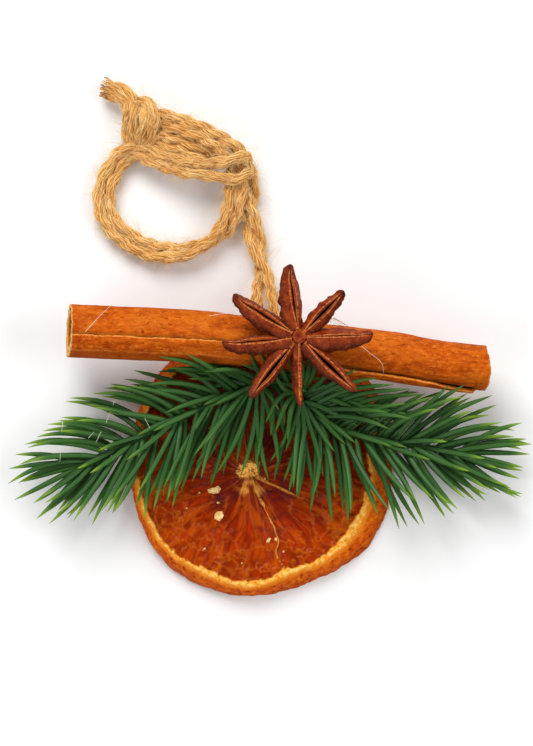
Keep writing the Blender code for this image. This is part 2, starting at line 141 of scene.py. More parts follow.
def smooth_route(points, count):
    """Points evenly spread along a Catmull-Rom curve through the given rows of numbers."""
    knots = np.array(points, float)
    knots = np.vstack([2.0 * knots[0] - knots[1], knots, 2.0 * knots[-1] - knots[-2]])
    dense = []
    for index in range(1, len(knots) - 2):
        before, start, end, after = knots[index - 1:index + 3]
        share = (np.arange(CURVE_STEPS) / CURVE_STEPS)[:, None]
        dense.append(0.5 * (2.0 * start + (end - before) * share
                            + (2.0 * before - 5.0 * start + 4.0 * end - after) * share ** 2
                            + (3.0 * start - before - 3.0 * end + after) * share ** 3))
    dense = np.vstack(dense + [knots[-2:-1]])
    travelled = distances(dense)
    wanted = np.linspace(0.0, travelled[-1], count)
    return np.stack([np.interp(wanted, travelled, column) for column in dense.T], axis=1)


def tangents(route):
    return unit(np.gradient(route, axis=0))


def spread(value, rows, columns):
    """A value for each point of a grid, from one number or from an array of numbers or vectors."""
    value = np.asarray(value, float)
    if value.ndim == 3:
        return value.reshape(rows * columns, 3)
    return np.broadcast_to(value, (rows, columns)).reshape(-1)


class Body:
    """Gathers grids of points, in millimetres, into one mesh."""

    def __init__(self):
        self.points = []
        self.faces = []
        self.values = {}
        self.count = 0

    def add(self, grid, values=None, capped=True):
        """A grid of rows by columns; the columns close into rings, and the end rows get caps."""
        rows, columns = grid.shape[:2]
        index = self.count + np.arange(rows * columns).reshape(rows, columns)
        beside = np.roll(index, -1, axis=1)
        quads = np.stack([index[:-1], beside[:-1], beside[1:], index[1:]], axis=-1)
        self.faces += quads.reshape(-1, 4).tolist()
        self.points.append(grid.reshape(-1, 3))
        self.count += rows * columns
        if capped:
            for row in (index[0], index[-1]):
                self.faces += [[row[side], row[(side + 1) % columns], self.count]
                               for side in range(columns)]
                self.count += 1
            self.points.append(np.stack([grid[0].mean(axis=0), grid[-1].mean(axis=0)]))
        for name, value in (values or {}).items():
            flat = spread(value, rows, columns)
            self.values.setdefault(name, []).append(flat)
            if capped:
                self.values[name].append(flat[[0, -1]])

    def build(self, name, material):
        mesh = bpy.data.meshes.new(name)
        mesh.from_pydata((np.vstack(self.points) * MM).tolist(), [], self.faces)
        for value_name, parts in self.values.items():
            flat = np.concatenate(parts).astype(np.float32)
            kind, key = ("FLOAT_VECTOR", "vector") if flat.ndim == 2 else ("FLOAT", "value")
            attribute = mesh.attributes.new(value_name, kind, "POINT")
            attribute.data.foreach_set(key, flat.reshape(-1))
        bm = bmesh.new()
        bm.from_mesh(mesh)
        bmesh.ops.recalc_face_normals(bm, faces=bm.faces)
        bm.to_mesh(mesh)
        bm.free()
        mesh.shade_smooth()
        mesh.materials.append(material)
        piece = bpy.data.objects.new(name, mesh)
        bpy.context.scene.collection.objects.link(piece)
        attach(piece, "root")
        return piece


def tube(route, radii, sides):
    """Rings round a route, as a grid."""
    along = tangents(route)
    across = unit(np.cross(along, TUBE_REFERENCE))
    above = np.cross(across, along)
    turns = TAU * np.arange(sides) / sides
    ring = (across[:, None, :] * np.cos(turns)[None, :, None]
            + above[:, None, :] * np.sin(turns)[None, :, None])
    return route[:, None, :] + ring * np.reshape(radii, (-1, 1, 1))


# ---- material tools


def colour(red, green, blue):
    """A colour given as seen on a screen, from 0 to 255, in linear light."""
    parts = []
    for part in (red, green, blue):
        part = part / 255.0
        parts.append(part / 12.92 if part <= 0.04045 else ((part + 0.055) / 1.055) ** 2.4)
    return (*parts, 1.0)


class Finish:
    """A node material built round one Principled shader, with colours as seen on a screen."""

    def __init__(self, name, **sockets):
        self.material = bpy.data.materials.new(name)
        self.material.use_nodes = True
        self.tree = self.material.node_tree
        self.shader = self.tree.nodes["Principled BSDF"]
        for socket, value in sockets.items():
            self.shader.inputs[socket.replace("_", " ")].default_value = value

    def fill(self, socket, value):
        """Link a socket to another, or set it to a number, a vector or a colour."""
        if isinstance(value, bpy.types.NodeSocket):
            self.tree.links.new(value, socket)
        else:
            socket.default_value = colour(*value) if socket.type == "RGBA" else value

    def node(self, kind, links, **settings):
        node = self.tree.nodes.new("ShaderNode" + kind)
        for setting, value in settings.items():
            setattr(node, setting, value)
        for socket, value in links.items():
            self.fill(node.inputs[socket], value)
        return node

    def noise(self, size, detail=3.0, stretch=(1.0, 1.0, 1.0), rough=0.55, twist=0.0, on=None):
        """Noise with spots about size millimetres across, on the object or on a stored place."""
        if on:
            place = self.node("Attribute", {}, attribute_name=on).outputs["Vector"]
        else:
            place = self.node("TexCoord", {}).outputs["Object"]
            stretch = tuple(part / MM for part in stretch)
        place = self.node("Mapping", {"Vector": place, "Scale": stretch}).outputs[0]
        node = self.node("TexNoise", {"Vector": place, "Scale": 1.0 / size, "Detail": detail,
                                      "Roughness": rough, "Distortion": twist})
        return node.outputs["Fac"]

    def value(self, name):
        return self.node("Attribute", {}, attribute_name=name).outputs["Fac"]

    def ramp(self, factor, *stops):
        node = self.node("ValToRGB", {"Fac": factor})
        elements = node.color_ramp.elements
        while len(elements) < len(stops):
            elements.new(0.5)
        for element, (position, tone) in zip(elements, stops):
            element.position = position
            element.color = colour(*tone)
        return node.outputs["Color"]

    def fade(self, factor, low, high):
        """0 below low, 1 above high, smooth between; the other way round if low is above high."""
        limits = {"From Min": low, "From Max": high}
        if low > high:
            limits = {"From Min": high, "From Max": low, "To Min": 1.0, "To Max": 0.0}
        node = self.node("MapRange", {"Value": factor, **limits}, interpolation_type="SMOOTHSTEP")
        return node.outputs["Result"]

    def math(self, operation, first, second):
        return self.node("Math", {0: first, 1: second}, operation=operation).outputs[0]

    def times(self, first, second):
        return self.math("MULTIPLY", first, second)

    def mix(self, factor, first, second):
        return self.node("Mix", {0: factor, 6: first, 7: second}, data_type="RGBA").outputs[2]

    def lay(self, base, share, tone, strength):
        """Cover a share of a base with a colour, at some strength."""
        return self.mix(self.times(share, strength), base, tone)

    def bump(self, height, strength, depth):
        """Relief of a depth in millimetres, on top of any relief already there."""
        links = {"Height": height, "Strength": strength, "Distance": depth * MM}
        if self.shader.inputs["Normal"].is_linked:
            links["Normal"] = self.shader.inputs["Normal"].links[0].from_socket
        self.set("Normal", self.node("Bump", links).outputs[0])

    def set(self, socket, value):
        self.tree.links.new(value, self.shader.inputs[socket])


# ---- orange slice

SLICE_COLUMNS = 440
SLICE_FRONT_ROWS = 122
SLICE_BACK_ROWS = 48
PEEL_ROWS = 30
SLICE_BACK_RADIUS = 29.2
SLICE_FRONT_RADIUS = 26.3
SLICE_FRONT_SHIFT = -1.5
SLICE_THICKNESS = 5.0
FLESH_HEIGHT = 3.5
CORE_SHIFT = np.array((-1.9, -1.5, 0.0))
CORE_RADIUS = 1.85
MEMBRANE_ANGLES = (15, 60, 105, 150, 192, 243, 283, 325)
MEMBRANE_SHOWS = (0.4, 0.3, 0.4, 0.3, 0.25, 0.8, 0.9, 0.7)
MEMBRANE_REACHES = (30.0, 30.0, 30.0, 30.0, 30.0, 8.5, 30.0, 17.0)
BACK_BULGES = ((135, 1.2, 20), (38, 1.6, 20), (222, 0.9, 16), (330, 1.0, 16),
               (180, -1.2, 25), (292, -1.0, 14))
FRONT_BULGES = ((222, 0.4, 12), (262, 0.9, 9), (288, -0.7, 7), (330, 1.3, 18),
                (38, 0.8, 20), (135, 0.8, 20))
PITH_BULGES = ((322, 1.0, 16), (266, 0.5, 14), (243, 0.5, 4), (283, 0.9, 3))
PITH_WIDTH = 1.0
MID_RADIUS = 14.0
FAN_ANGLE = 266.0
FAN_SPREAD = 34.0
FAN_LENGTH = 7.2


def outline(base, bulges, degrees):
    return base + sum(height * bell(degrees, middle, spread) for middle, height, spread in bulges)


def round_place(theta, radius, width, length):
    """A place for noise with spots this wide at the middle radius and this long outwards."""
    return np.stack([np.cos(theta) * MID_RADIUS / width, np.sin(theta) * MID_RADIUS / width,
                     radius / length], axis=-1)


def flat_place(theta, radius, size):
    return polar(theta, radius, 0.0) / size


def membranes(theta, radius, seed):
    """Height share of the wandering membranes, and the distance to the nearest."""
    crest = np.zeros(theta.shape)
    nearest = np.full(theta.shape, 99.0)
    kinds = zip(MEMBRANE_ANGLES, MEMBRANE_SHOWS, MEMBRANE_REACHES)
    for number, (degrees, shows, reach) in enumerate(kinds):
        place = line_place(radius / 4.0, number * 7.3)
        middle = np.radians(degrees) + 0.055 * fractal(place, 3, seed)
        gap = radius * np.abs((theta - middle + math.pi) % TAU - math.pi)
        broken = ease(0.75 + 1.3 * noise(place * 1.7, seed + 3) + 2.0 * (shows > 0.6))
        wide = lerp(0.65, 0.17, ease((radius - 2.0) / 11.0))
        wide = wide * (0.8 + 0.5 * noise(place * 2.6, seed + 4))
        broken = broken * (0.25 + 0.75 * ease((reach - radius) / 5.0))
        crest = np.maximum(crest, np.exp(-(gap / wide) ** 2) * shows * broken)
        nearest = np.minimum(nearest, gap)
    return crest, nearest


def flesh_relief(theta, radius, edge, seed):
    """Height of the cut flesh above its own level, and the values its finish needs."""
    crest, gap = membranes(theta, radius, seed)
    share = radius / edge
    wander = 0.30 * fractal(round_place(theta, radius, 6.0, 6.0), 2, seed + 5)
    angle = theta + 0.10 * wander
    first, second, tint = cells(round_place(angle, radius + 2.0 * wander, 1.5, 6.5), seed + 9)
    groove = 1.0 - ease((second - first) / 0.35)
    fades = ease((radius - CORE_RADIUS) / 3.0)
    streak = fractal(round_place(angle, radius, 0.62, 4.5), 3, seed + 20)
    calm = lerp(0.35, 1.0, ease((radius - 3.0) / 8.0))
    sag = fractal(flat_place(theta, radius, 5.0), 2, seed + 30)
    fold = np.abs(fractal(round_place(angle, radius + 3.0 * wander, 2.4, 7.0), 3, seed + 40))
    fold = ease(1.0 - fold / 0.13)
    curl = np.abs(fractal(flat_place(theta, radius, 2.2), 3, seed + 44))
    curl = ease(1.0 - curl / 0.16) * ease((share - 0.50) / 0.3)
    height = -0.10 * groove * fades * calm + 0.08 * streak * fades * calm + 0.55 * sag
    height += 0.26 * fold * fades * calm + 0.26 * curl
    height -= 0.45 * np.exp(-((gap - 1.0) / 0.8) ** 2) * fades
    height += 0.45 * crest * (1.0 - 0.4 * share)
    fibres = fractal(flat_place(theta, radius, 0.75), 3, seed + 50)
    clump = fractal(flat_place(theta, radius, 2.2), 2, seed + 54)
    reach = CORE_RADIUS * (1.0 + 0.24 * np.cos(2.0 * theta) + 1.1 * clump + 0.45 * streak)
    tuft = 1.0 - ease((radius - reach) / 0.8)
    height += tuft * (0.8 + 0.8 * fibres)
    fan = bell(np.degrees(theta), FAN_ANGLE, FAN_SPREAD) * ease((FAN_LENGTH - radius) / 3.0)
    fan = fan * ease(0.90 + 1.2 * clump)
    height += 0.55 * fan
    values = {"groove": groove * fades, "tint": tint, "membrane": crest, "tuft": tuft,
              "share": share, "strand": np.clip(fan, 0.0, 1.0) * (1.0 - tuft), "curl": curl,
              "fold": fold, "round": round_place(angle, radius, 1.0, 8.0)}
    return height, values


def slice_surface():
    theta = TAU * np.arange(SLICE_COLUMNS) / SLICE_COLUMNS
    degrees = np.degrees(theta)
    circle = polar(theta, 1.0, 0.0)
    ragged = fractal(circle * 16.0, 3, 61)
    front = outline(SLICE_FRONT_RADIUS, FRONT_BULGES, degrees)
    front = front + SLICE_FRONT_SHIFT * np.cos(theta) + 0.3 * ragged
    back = outline(SLICE_BACK_RADIUS, BACK_BULGES, degrees) + 0.25 * fractal(circle * 9.0, 3, 67)
    rim = SLICE_THICKNESS + 0.25 * np.sin(3.0 * theta + 0.7) + 0.15 * fractal(circle * 12.0, 2, 71)
    pith_width = outline(PITH_WIDTH, PITH_BULGES, degrees) + 0.35 * fractal(circle * 26.0, 3, 73)
    rows = {"points": [], "values": []}

    def add(radius, height, values, centred=1.0):
        rows["points"].append(polar(theta, radius, height) + CORE_SHIFT * (1.0 - centred))
        rows["values"].append(values)

    zeros = np.zeros_like(theta)
    for share in np.linspace(0.012, 1.0, SLICE_FRONT_ROWS):
        radius = share * (front - 0.25)
        inner = front - pith_width
        relief, values = flesh_relief(theta, radius, inner, 3)
        rough = fractal(flat_place(theta, radius, 0.75), 3, 80)
        wall = ease((radius - inner + 0.75) / 0.85)
        lip = rim - 0.2 + 0.24 * rough - 0.35 * ease((radius - front + 0.7) / 0.5)
        level = FLESH_HEIGHT - 0.35 * np.sin(math.pi * np.clip(radius / inner, 0.0, 1.0))
        height = (level + relief) * (1.0 - wall) + lip * wall
        values["pith"] = ease((radius - inner + 0.35 + 0.45 * rough) / 0.45)
        values["peel"] = ease((radius - front + 1.0 + 0.5 * rough) / 1.2) * 0.55
        add(radius, height, values, ease(share / 0.7))
    blank = dict.fromkeys(("groove", "membrane", "tuft", "strand", "curl"), zeros)
    for row in range(1, PEEL_ROWS):
        share = row / PEEL_ROWS
        radius = lerp(front - 0.05, back, share ** 0.9) + 0.45 * math.sin(math.pi * share)
        height = (rim - 0.45) * (1.0 - share) + 0.12 * share
        place = polar(theta, radius, height)
        pore, _, _ = cells(place / 1.35, 90)
        inset = 0.26 * np.exp(-(pore / 0.32) ** 2) - 0.20 * fractal(place / 1.5, 3, 93)
        inset = (inset - 0.22 * fractal(place / 4.5, 2, 96)) * ease(share / 0.15)
        values = {**blank, "peel": zeros + lerp(0.62, 1.0, ease(share / 0.22)),
                  "round": round_place(theta, radius, 1.0, 8.0), "tint": zeros + share,
                  "fold": np.exp(-(pore / 0.38) ** 2), "share": zeros + 1.0, "pith": zeros + 1.0}
        add(radius - inset, np.maximum(height, 0.05), values)
    for share in np.linspace(1.0, 0.02, SLICE_BACK_ROWS):
        radius = share * (back - 0.35)
        inner = back - 1.6 - 0.5 * ragged
        relief, values = flesh_relief(theta, radius, inner, 203)
        wall = ease((radius - inner + 0.6) / 0.8)
        height = (0.75 - relief) * (1.0 - wall) + 0.06 * wall
        height = np.maximum(height, 0.02) * (1.0 - 0.9 * values["tuft"])
        values["pith"] = ease((radius - inner + 0.5) / 0.5)
        values["peel"] = ease((radius - back + 0.9) / 0.4)
        add(radius, height, values, ease(share / 0.7))
    grid = np.stack(rows["points"])
    names = rows["values"][0].keys()
    return grid, {name: np.stack([row[name] for row in rows["values"]]) for name in names}


def orange_finish():
    finish = Finish("dried_orange", Roughness=0.34, IOR=1.45, Specular_IOR_Level=0.08,
                    Subsurface_Weight=0.15, Subsurface_Radius=(0.0022, 0.0008, 0.0003),
                    Subsurface_Scale=1.0)
    share = finish.value("share")
    streaks = finish.noise(0.55, 5.0, rough=0.6, twist=0.3, on="round")
    wide = finish.noise(2.6, 3.0, rough=0.5, twist=0.4, on="round")
    depth = finish.math("ADD", share, finish.times(finish.math("SUBTRACT", wide, 0.5), 0.9))
    flesh = finish.ramp(depth, (0.08, (118, 28, 14)), (0.36, (156, 40, 0)),
                        (0.66, (168, 46, 0)), (1.00, (174, 57, 0)))
    outer = finish.fade(share, 0.15, 0.50)
    tint = finish.value("tint")
    fold = finish.value("fold")
    peel = finish.value("peel")
    for mask, strength, tone in (
            (finish.times(finish.fade(streaks, 0.50, 0.34), outer), 0.55, (112, 20, 0)),
            (finish.times(finish.fade(streaks, 0.56, 0.72), outer), 0.60, (206, 84, 2)),
            (finish.fade(tint, 0.6, 1.0), 0.30, (204, 86, 0)),
            (finish.fade(tint, 0.35, 0.0), 0.40, (104, 20, 0)),
            (finish.value("groove"), 0.35, (84, 20, 2)),
            (finish.value("curl"), 0.50, (206, 102, 6)),
            (fold, 0.30, (212, 104, 14)),
            (finish.fade(finish.noise(5.5, 3.0, twist=0.6), 0.50, 0.68),
             finish.fade(share, 0.85, 0.20), (84, 22, 20)),
            (finish.fade(finish.noise(0.8, 4.0), 0.69, 0.76), 0.6, (222, 140, 48))):
        flesh = finish.lay(flesh, mask, tone, strength)
    uneven = finish.times(finish.noise(0.8, 5.0, twist=0.4, on="round"), 0.9)
    strand = finish.fade(finish.math("ADD", finish.value("strand"), uneven), 0.60, 1.50)
    flesh = finish.mix(strand, flesh, finish.mix(finish.noise(0.8), (214, 108, 18), (255, 182, 84)))
    fibre = finish.mix(finish.noise(0.9), (184, 94, 12), (236, 172, 84))
    flesh = finish.lay(flesh, finish.fade(finish.value("membrane"), 0.18, 0.75), fibre,
                       finish.fade(finish.noise(0.45, 3.0, twist=0.3), 0.30, 0.50))
    wool = finish.value("tuft")
    tuft = finish.mix(finish.fade(finish.noise(0.6, 4.0), 0.36, 0.58), (186, 92, 14),
                      (255, 200, 104))
    tuft = finish.mix(finish.fade(finish.noise(0.7, 2.0, twist=0.5), 0.36, 0.28), tuft, (70, 26, 4))
    flesh = finish.mix(wool, flesh, tuft)
    white = finish.value("pith")
    pith = finish.ramp(finish.noise(0.9, 5.0, rough=0.65), (0.30, (226, 118, 8)),
                       (0.45, (244, 160, 42)), (0.62, (255, 208, 112)))
    pits = finish.fade(finish.noise(0.55, 2.0, twist=0.4), 0.33, 0.27)
    face = finish.mix(white, flesh, finish.mix(pits, pith, (120, 56, 4)))
    rind = finish.ramp(finish.noise(1.3, 5.0, rough=0.65), (0.32, (182, 62, 0)),
                       (0.50, (218, 92, 0)), (0.68, (244, 134, 22)))
    skin = finish.mix(finish.noise(1.0, 4.0), (126, 34, 0), (204, 84, 4))
    rind = finish.lay(rind, finish.fade(tint, 0.25, 0.85), skin, 0.62)
    rind = finish.lay(rind, finish.fade(fold, 0.30, 0.95), (134, 34, 0), 0.8)
    face = finish.mix(finish.fade(peel, 0.05, 0.50), face, (236, 134, 28))
    finish.set("Base Color", finish.mix(finish.fade(peel, 0.56, 0.95), face, rind))
    dry = finish.times(finish.math("MAXIMUM", white, wool), 0.40)
    finish.set("Roughness", finish.math("ADD", dry, finish.times(finish.noise(1.1), 0.50)))
    finish.bump(streaks, 0.5, 0.10)
    finish.bump(finish.noise(0.6, 4.0), 0.4, 0.08)
    return finish.material


def make_orange_slice():
    body = Body()
    grid, values = slice_surface()
    body.add(grid, values)
    piece = body.build("slice_of_orange", orange_finish())
    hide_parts("orange_slice")
    return grid.reshape(-1, 3)


# ---- cinnamon stick

STICK_POINTS = ((-41.6, 30.0, 15.2), (-13.4, 28.7, 13.9), (-5.1, 27.9, 13.5), (25.7, 24.85, 12.2),
                (37.0, 22.9, 11.7), (50.6, 21.1, 11.1))
STICK_LEFT_RADIUS = 5.9
STICK_RIGHT_RADIUS = 4.9
BARK_THICKNESS = 1.0
BARK_PITCH = 1.22
BARK_TURNS = 1.7
LIP_LEFT_ANGLE = -9.0
LIP_MIDDLE_ANGLE = -58.0
LIP_RIGHT_ANGLE = -84.0
LIP_STAND_OFF = 0.12
LIP_BROKEN_TURN = 34.0
STICK_CUT_SLOPE = 0.09
STICK_END_SLOPE = -0.13
STICK_END_BULGE = 0.8
FACET_ANGLE = -43.0
CUT_ROWS = 4
BARK_STATIONS = 260
BARK_COLUMNS = 150
# Spots in the bark: size, detail, stretch, twist, the two ends of the fade, strength, colour.
BARK_SPOTS = (
    (3.40, 4.0, 0.55, 0.5, 0.50, 0.68, 0.70, (156, 54, 0)),
    (1.30, 4.0, 0.75, 0.4, 0.50, 0.66, 0.50, (158, 60, 6)),
    (6.00, 3.0, 0.40, 0.0, 0.45, 0.70, 0.45, (220, 120, 30)),
    (0.70, 4.0, 0.70, 0.0, 0.52, 0.70, 0.50, (226, 130, 44)),
    (0.90, 4.0, 0.50, 0.8, 0.40, 0.30, 0.85, (124, 38, 0)),
    (0.42, 3.0, 0.06, 0.0, 0.62, 0.72, 0.45, (232, 140, 56)),
    (0.40, 3.0, 0.22, 0.0, 0.62, 0.70, 0.60, (104, 36, 0)))


def bark_noise(points, sizes, octaves, seed):
    return fractal(points / np.array(sizes), octaves, seed)


def stick_surface():
    route = smooth_route(STICK_POINTS, BARK_STATIONS)
    along = tangents(route)
    across = unit(np.array((0.0, 1.0, 0.0)) - along * along[:, 1:2])
    front = np.cross(along, across)
    share = np.linspace(0.0, 1.0, BARK_STATIONS)[:, None]
    radius = lerp(STICK_LEFT_RADIUS, STICK_RIGHT_RADIUS, share)
    lip = lerp(LIP_LEFT_ANGLE, LIP_MIDDLE_ANGLE, ease((share - 0.35) / 0.4))
    lip = lerp(lip, LIP_RIGHT_ANGLE, ease((share - 0.86) / 0.10))
    lip = lip - LIP_BROKEN_TURN * ease((share - 0.966) / 0.010)
    place = line_place(route[:, 0] / 5.0, 0.0)
    lip = lip + 1.6 * fractal(place, 3, 301)[:, None] + 1.6 * fractal(place * 7.0, 3, 305)[:, None]
    stand_off = LIP_STAND_OFF * ease((share - 0.45) / 0.3)
    turned = 360.0 * BARK_TURNS * np.linspace(0.0, 1.0, BARK_COLUMNS)[None, :]
    roll_radius = radius - BARK_PITCH * (turned / 360.0 - 0.5)
    roll_radius = roll_radius + stand_off * (1.0 - ease(turned / 110.0))
    degrees = lip - turned
    angle = np.radians(degrees)
    roll_radius = roll_radius * (1.0 + 0.012 * np.cos(3.0 * angle + 0.6))
    facet = bell(degrees, FACET_ANGLE, 4.5) * (1.0 - ease((share - 0.40) / 0.2))
    roll_radius = roll_radius + 0.16 * facet * (turned < 330.0)
    direction = (front[:, None, :] * np.cos(angle)[..., None]
                 + across[:, None, :] * np.sin(angle)[..., None])
    edge = np.minimum(ease(turned / 9.0), 1.0)
    outer = route[:, None, :] + direction * (roll_radius - 0.28 * (1.0 - edge))[..., None]
    inner = route[:, None, :] + direction * (roll_radius - BARK_THICKNESS
                                             + 0.28 * (1.0 - edge))[..., None]
    swell = 0.26 * bark_noise(outer, (20.0, 6.0, 6.0), 2, 311)
    ridges = 0.13 * bark_noise(outer, (14.0, 1.3, 1.3), 3, 321)
    grain = 0.09 * bark_noise(outer, (3.4, 0.45, 0.45), 3, 331)
    warts = 0.12 * np.maximum(bark_noise(outer, (1.6, 1.1, 1.1), 2, 345) - 0.30, 0.0)
    pits = np.maximum(bark_noise(outer, (2.6, 0.7, 0.7), 2, 341) - 0.40, 0.0)
    outer = outer + direction * (swell + ridges + grain + warts - 0.6 * pits)[..., None]
    swell = swell + 0.10 * bark_noise(inner, (9.0, 0.9, 0.9), 3, 351)
    inner = inner + direction * swell[..., None]
    grid = np.concatenate([outer, inner[:, ::-1]], axis=1)
    for end, way in ((0, 1), (-1, -1)):
        rough = 0.42 * fractal(grid[end] / 0.9, 3, 361 + end)
        offset = grid[end] - route[end]
        slant = STICK_CUT_SLOPE * offset[:, 2]
        if end == -1:
            slant = STICK_END_SLOPE * offset[:, 1]
            slant = slant - STICK_END_BULGE * (offset[:, 1] / STICK_RIGHT_RADIUS) ** 2
        for step in range(CUT_ROWS):
            grid[end + way * step, :, 0] += ((slant + way * np.abs(rough))
                                             * (1.0 - step / CUT_ROWS))
    cut = np.zeros(grid.shape[:2])
    cut[[0, -1]] = 1.0
    # The lip's own pale edge, and a painted highlight along the facet's ridge.
    worn = np.exp(-(turned / 3.4) ** 2) + 0.55 * facet * (turned < 330.0)
    # Painted shade: this mask marks the bark below the facet, which faces down, away from the
    # light.
    low = ease((FACET_ANGLE - 2.0 - degrees) / 5.0) * (turned < 180.0)
    low = low * (1.0 - ease((share - 0.35) / 0.3))

    def faces(front_value, back_value=0.0):
        """A value on the outer face of the bark, and then on its inner face."""
        shape = outer.shape[:2]
        return np.concatenate([np.broadcast_to(front_value, shape),
                               np.broadcast_to(back_value, shape)], axis=1)

    return grid, {"inside": faces(np.clip((turned - 352.0) / 10.0, 0.0, 1.0), 1.0), "cut": cut,
                  "worn": faces(worn), "low": faces(low)}


def bark_finish():
    finish = Finish("cinnamon_bark", Roughness=0.66, Specular_IOR_Level=0.06)
    base = finish.ramp(finish.noise(0.9, 6.0, (0.42, 1.0, 1.0), 0.70), (0.32, (150, 56, 2)),
                       (0.45, (184, 78, 4)), (0.56, (202, 92, 10)), (0.72, (222, 122, 32)))
    for size, detail, stretch, twist, low, high, strength, tone in BARK_SPOTS:
        spots = finish.noise(size, detail, (stretch, 1.0, 1.0), twist=twist)
        base = finish.lay(base, finish.fade(spots, low, high), tone, strength)
    # Painted shade: the bark below the facet is darkened with this colour.
    shade = finish.mix(finish.noise(1.4, 5.0, (0.3, 1.0, 1.0)), (132, 46, 0), (196, 88, 18))
    base = finish.lay(base, finish.value("low"), shade, 0.55)
    # Pale bark at the lip's edge, and a painted highlight on the facet's ridge line.
    ragged = finish.fade(finish.noise(0.5, 4.0, (0.4, 1.0, 1.0)), 0.30, 0.60)
    base = finish.lay(base, finish.fade(finish.value("worn"), 0.30, 0.9), (238, 152, 70), ragged)
    inner = finish.ramp(finish.noise(0.8, 4.0, (0.3, 1.0, 1.0)), (0.3, (96, 52, 8)),
                        (0.6, (186, 108, 30)))
    base = finish.mix(finish.value("inside"), base, inner)
    tan = finish.mix(finish.noise(0.4, 3.0), (196, 116, 40), (250, 206, 130))
    finish.set("Base Color", finish.mix(finish.value("cut"), base, tan))
    finish.bump(finish.noise(0.45, 5.0, (0.25, 1.0, 1.0)), 0.8, 0.14)
    return finish.material


def make_cinnamon_stick():
    body = Body()
    grid, values = stick_surface()
    rows, columns = grid.shape[:2]
    body.add(grid, values, capped=False)
    half = columns // 2
    for row in (0, rows - 1):
        start = row * columns
        body.faces += [[start + side, start + side + 1, start + columns - 2 - side,
                        start + columns - 1 - side] for side in range(half - 1)]
    piece = body.build("rolled_bark", bark_finish())
    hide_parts("cinnamon_stick")


# ---- star anise

ANISE_CENTRE = np.array((8.8, 28.4, 23.6))
ANISE_PODS = (
    (99.2, 28, 15.8, 0.28, 1.15), (45.4, -4, 13.8, 0.40, 0.95), (0.5, -27, 16.0, 0.08, 1.2),
    (-44.4, -10, 17.0, 0.50, 0.98), (-89.6, -20, 15.3, 0.0, 0.55), (230.6, -12, 17.1, 0.48, 0.95),
    (186.4, 32, 16.9, 0.22, 1.0), (149.2, 28, 17.0, 0.34, 1.1))
POD_HALF_WIDTH = 2.3
POD_HEIGHT = 4.6
POD_START = 0.100
POD_STATIONS = 90
POD_COLUMNS = 64
HUB_COLUMNS = 64
HUB_PROFILE = (
    (0.10, -0.10), (0.32, -0.14), (0.60, -0.02), (0.95, 0.14), (1.30, 0.16), (1.52, 0.02),
    (1.66, -0.28), (1.72, -0.90), (1.80, -1.30), (1.90, -2.6), (1.40, -4.4), (0.5, -4.8))


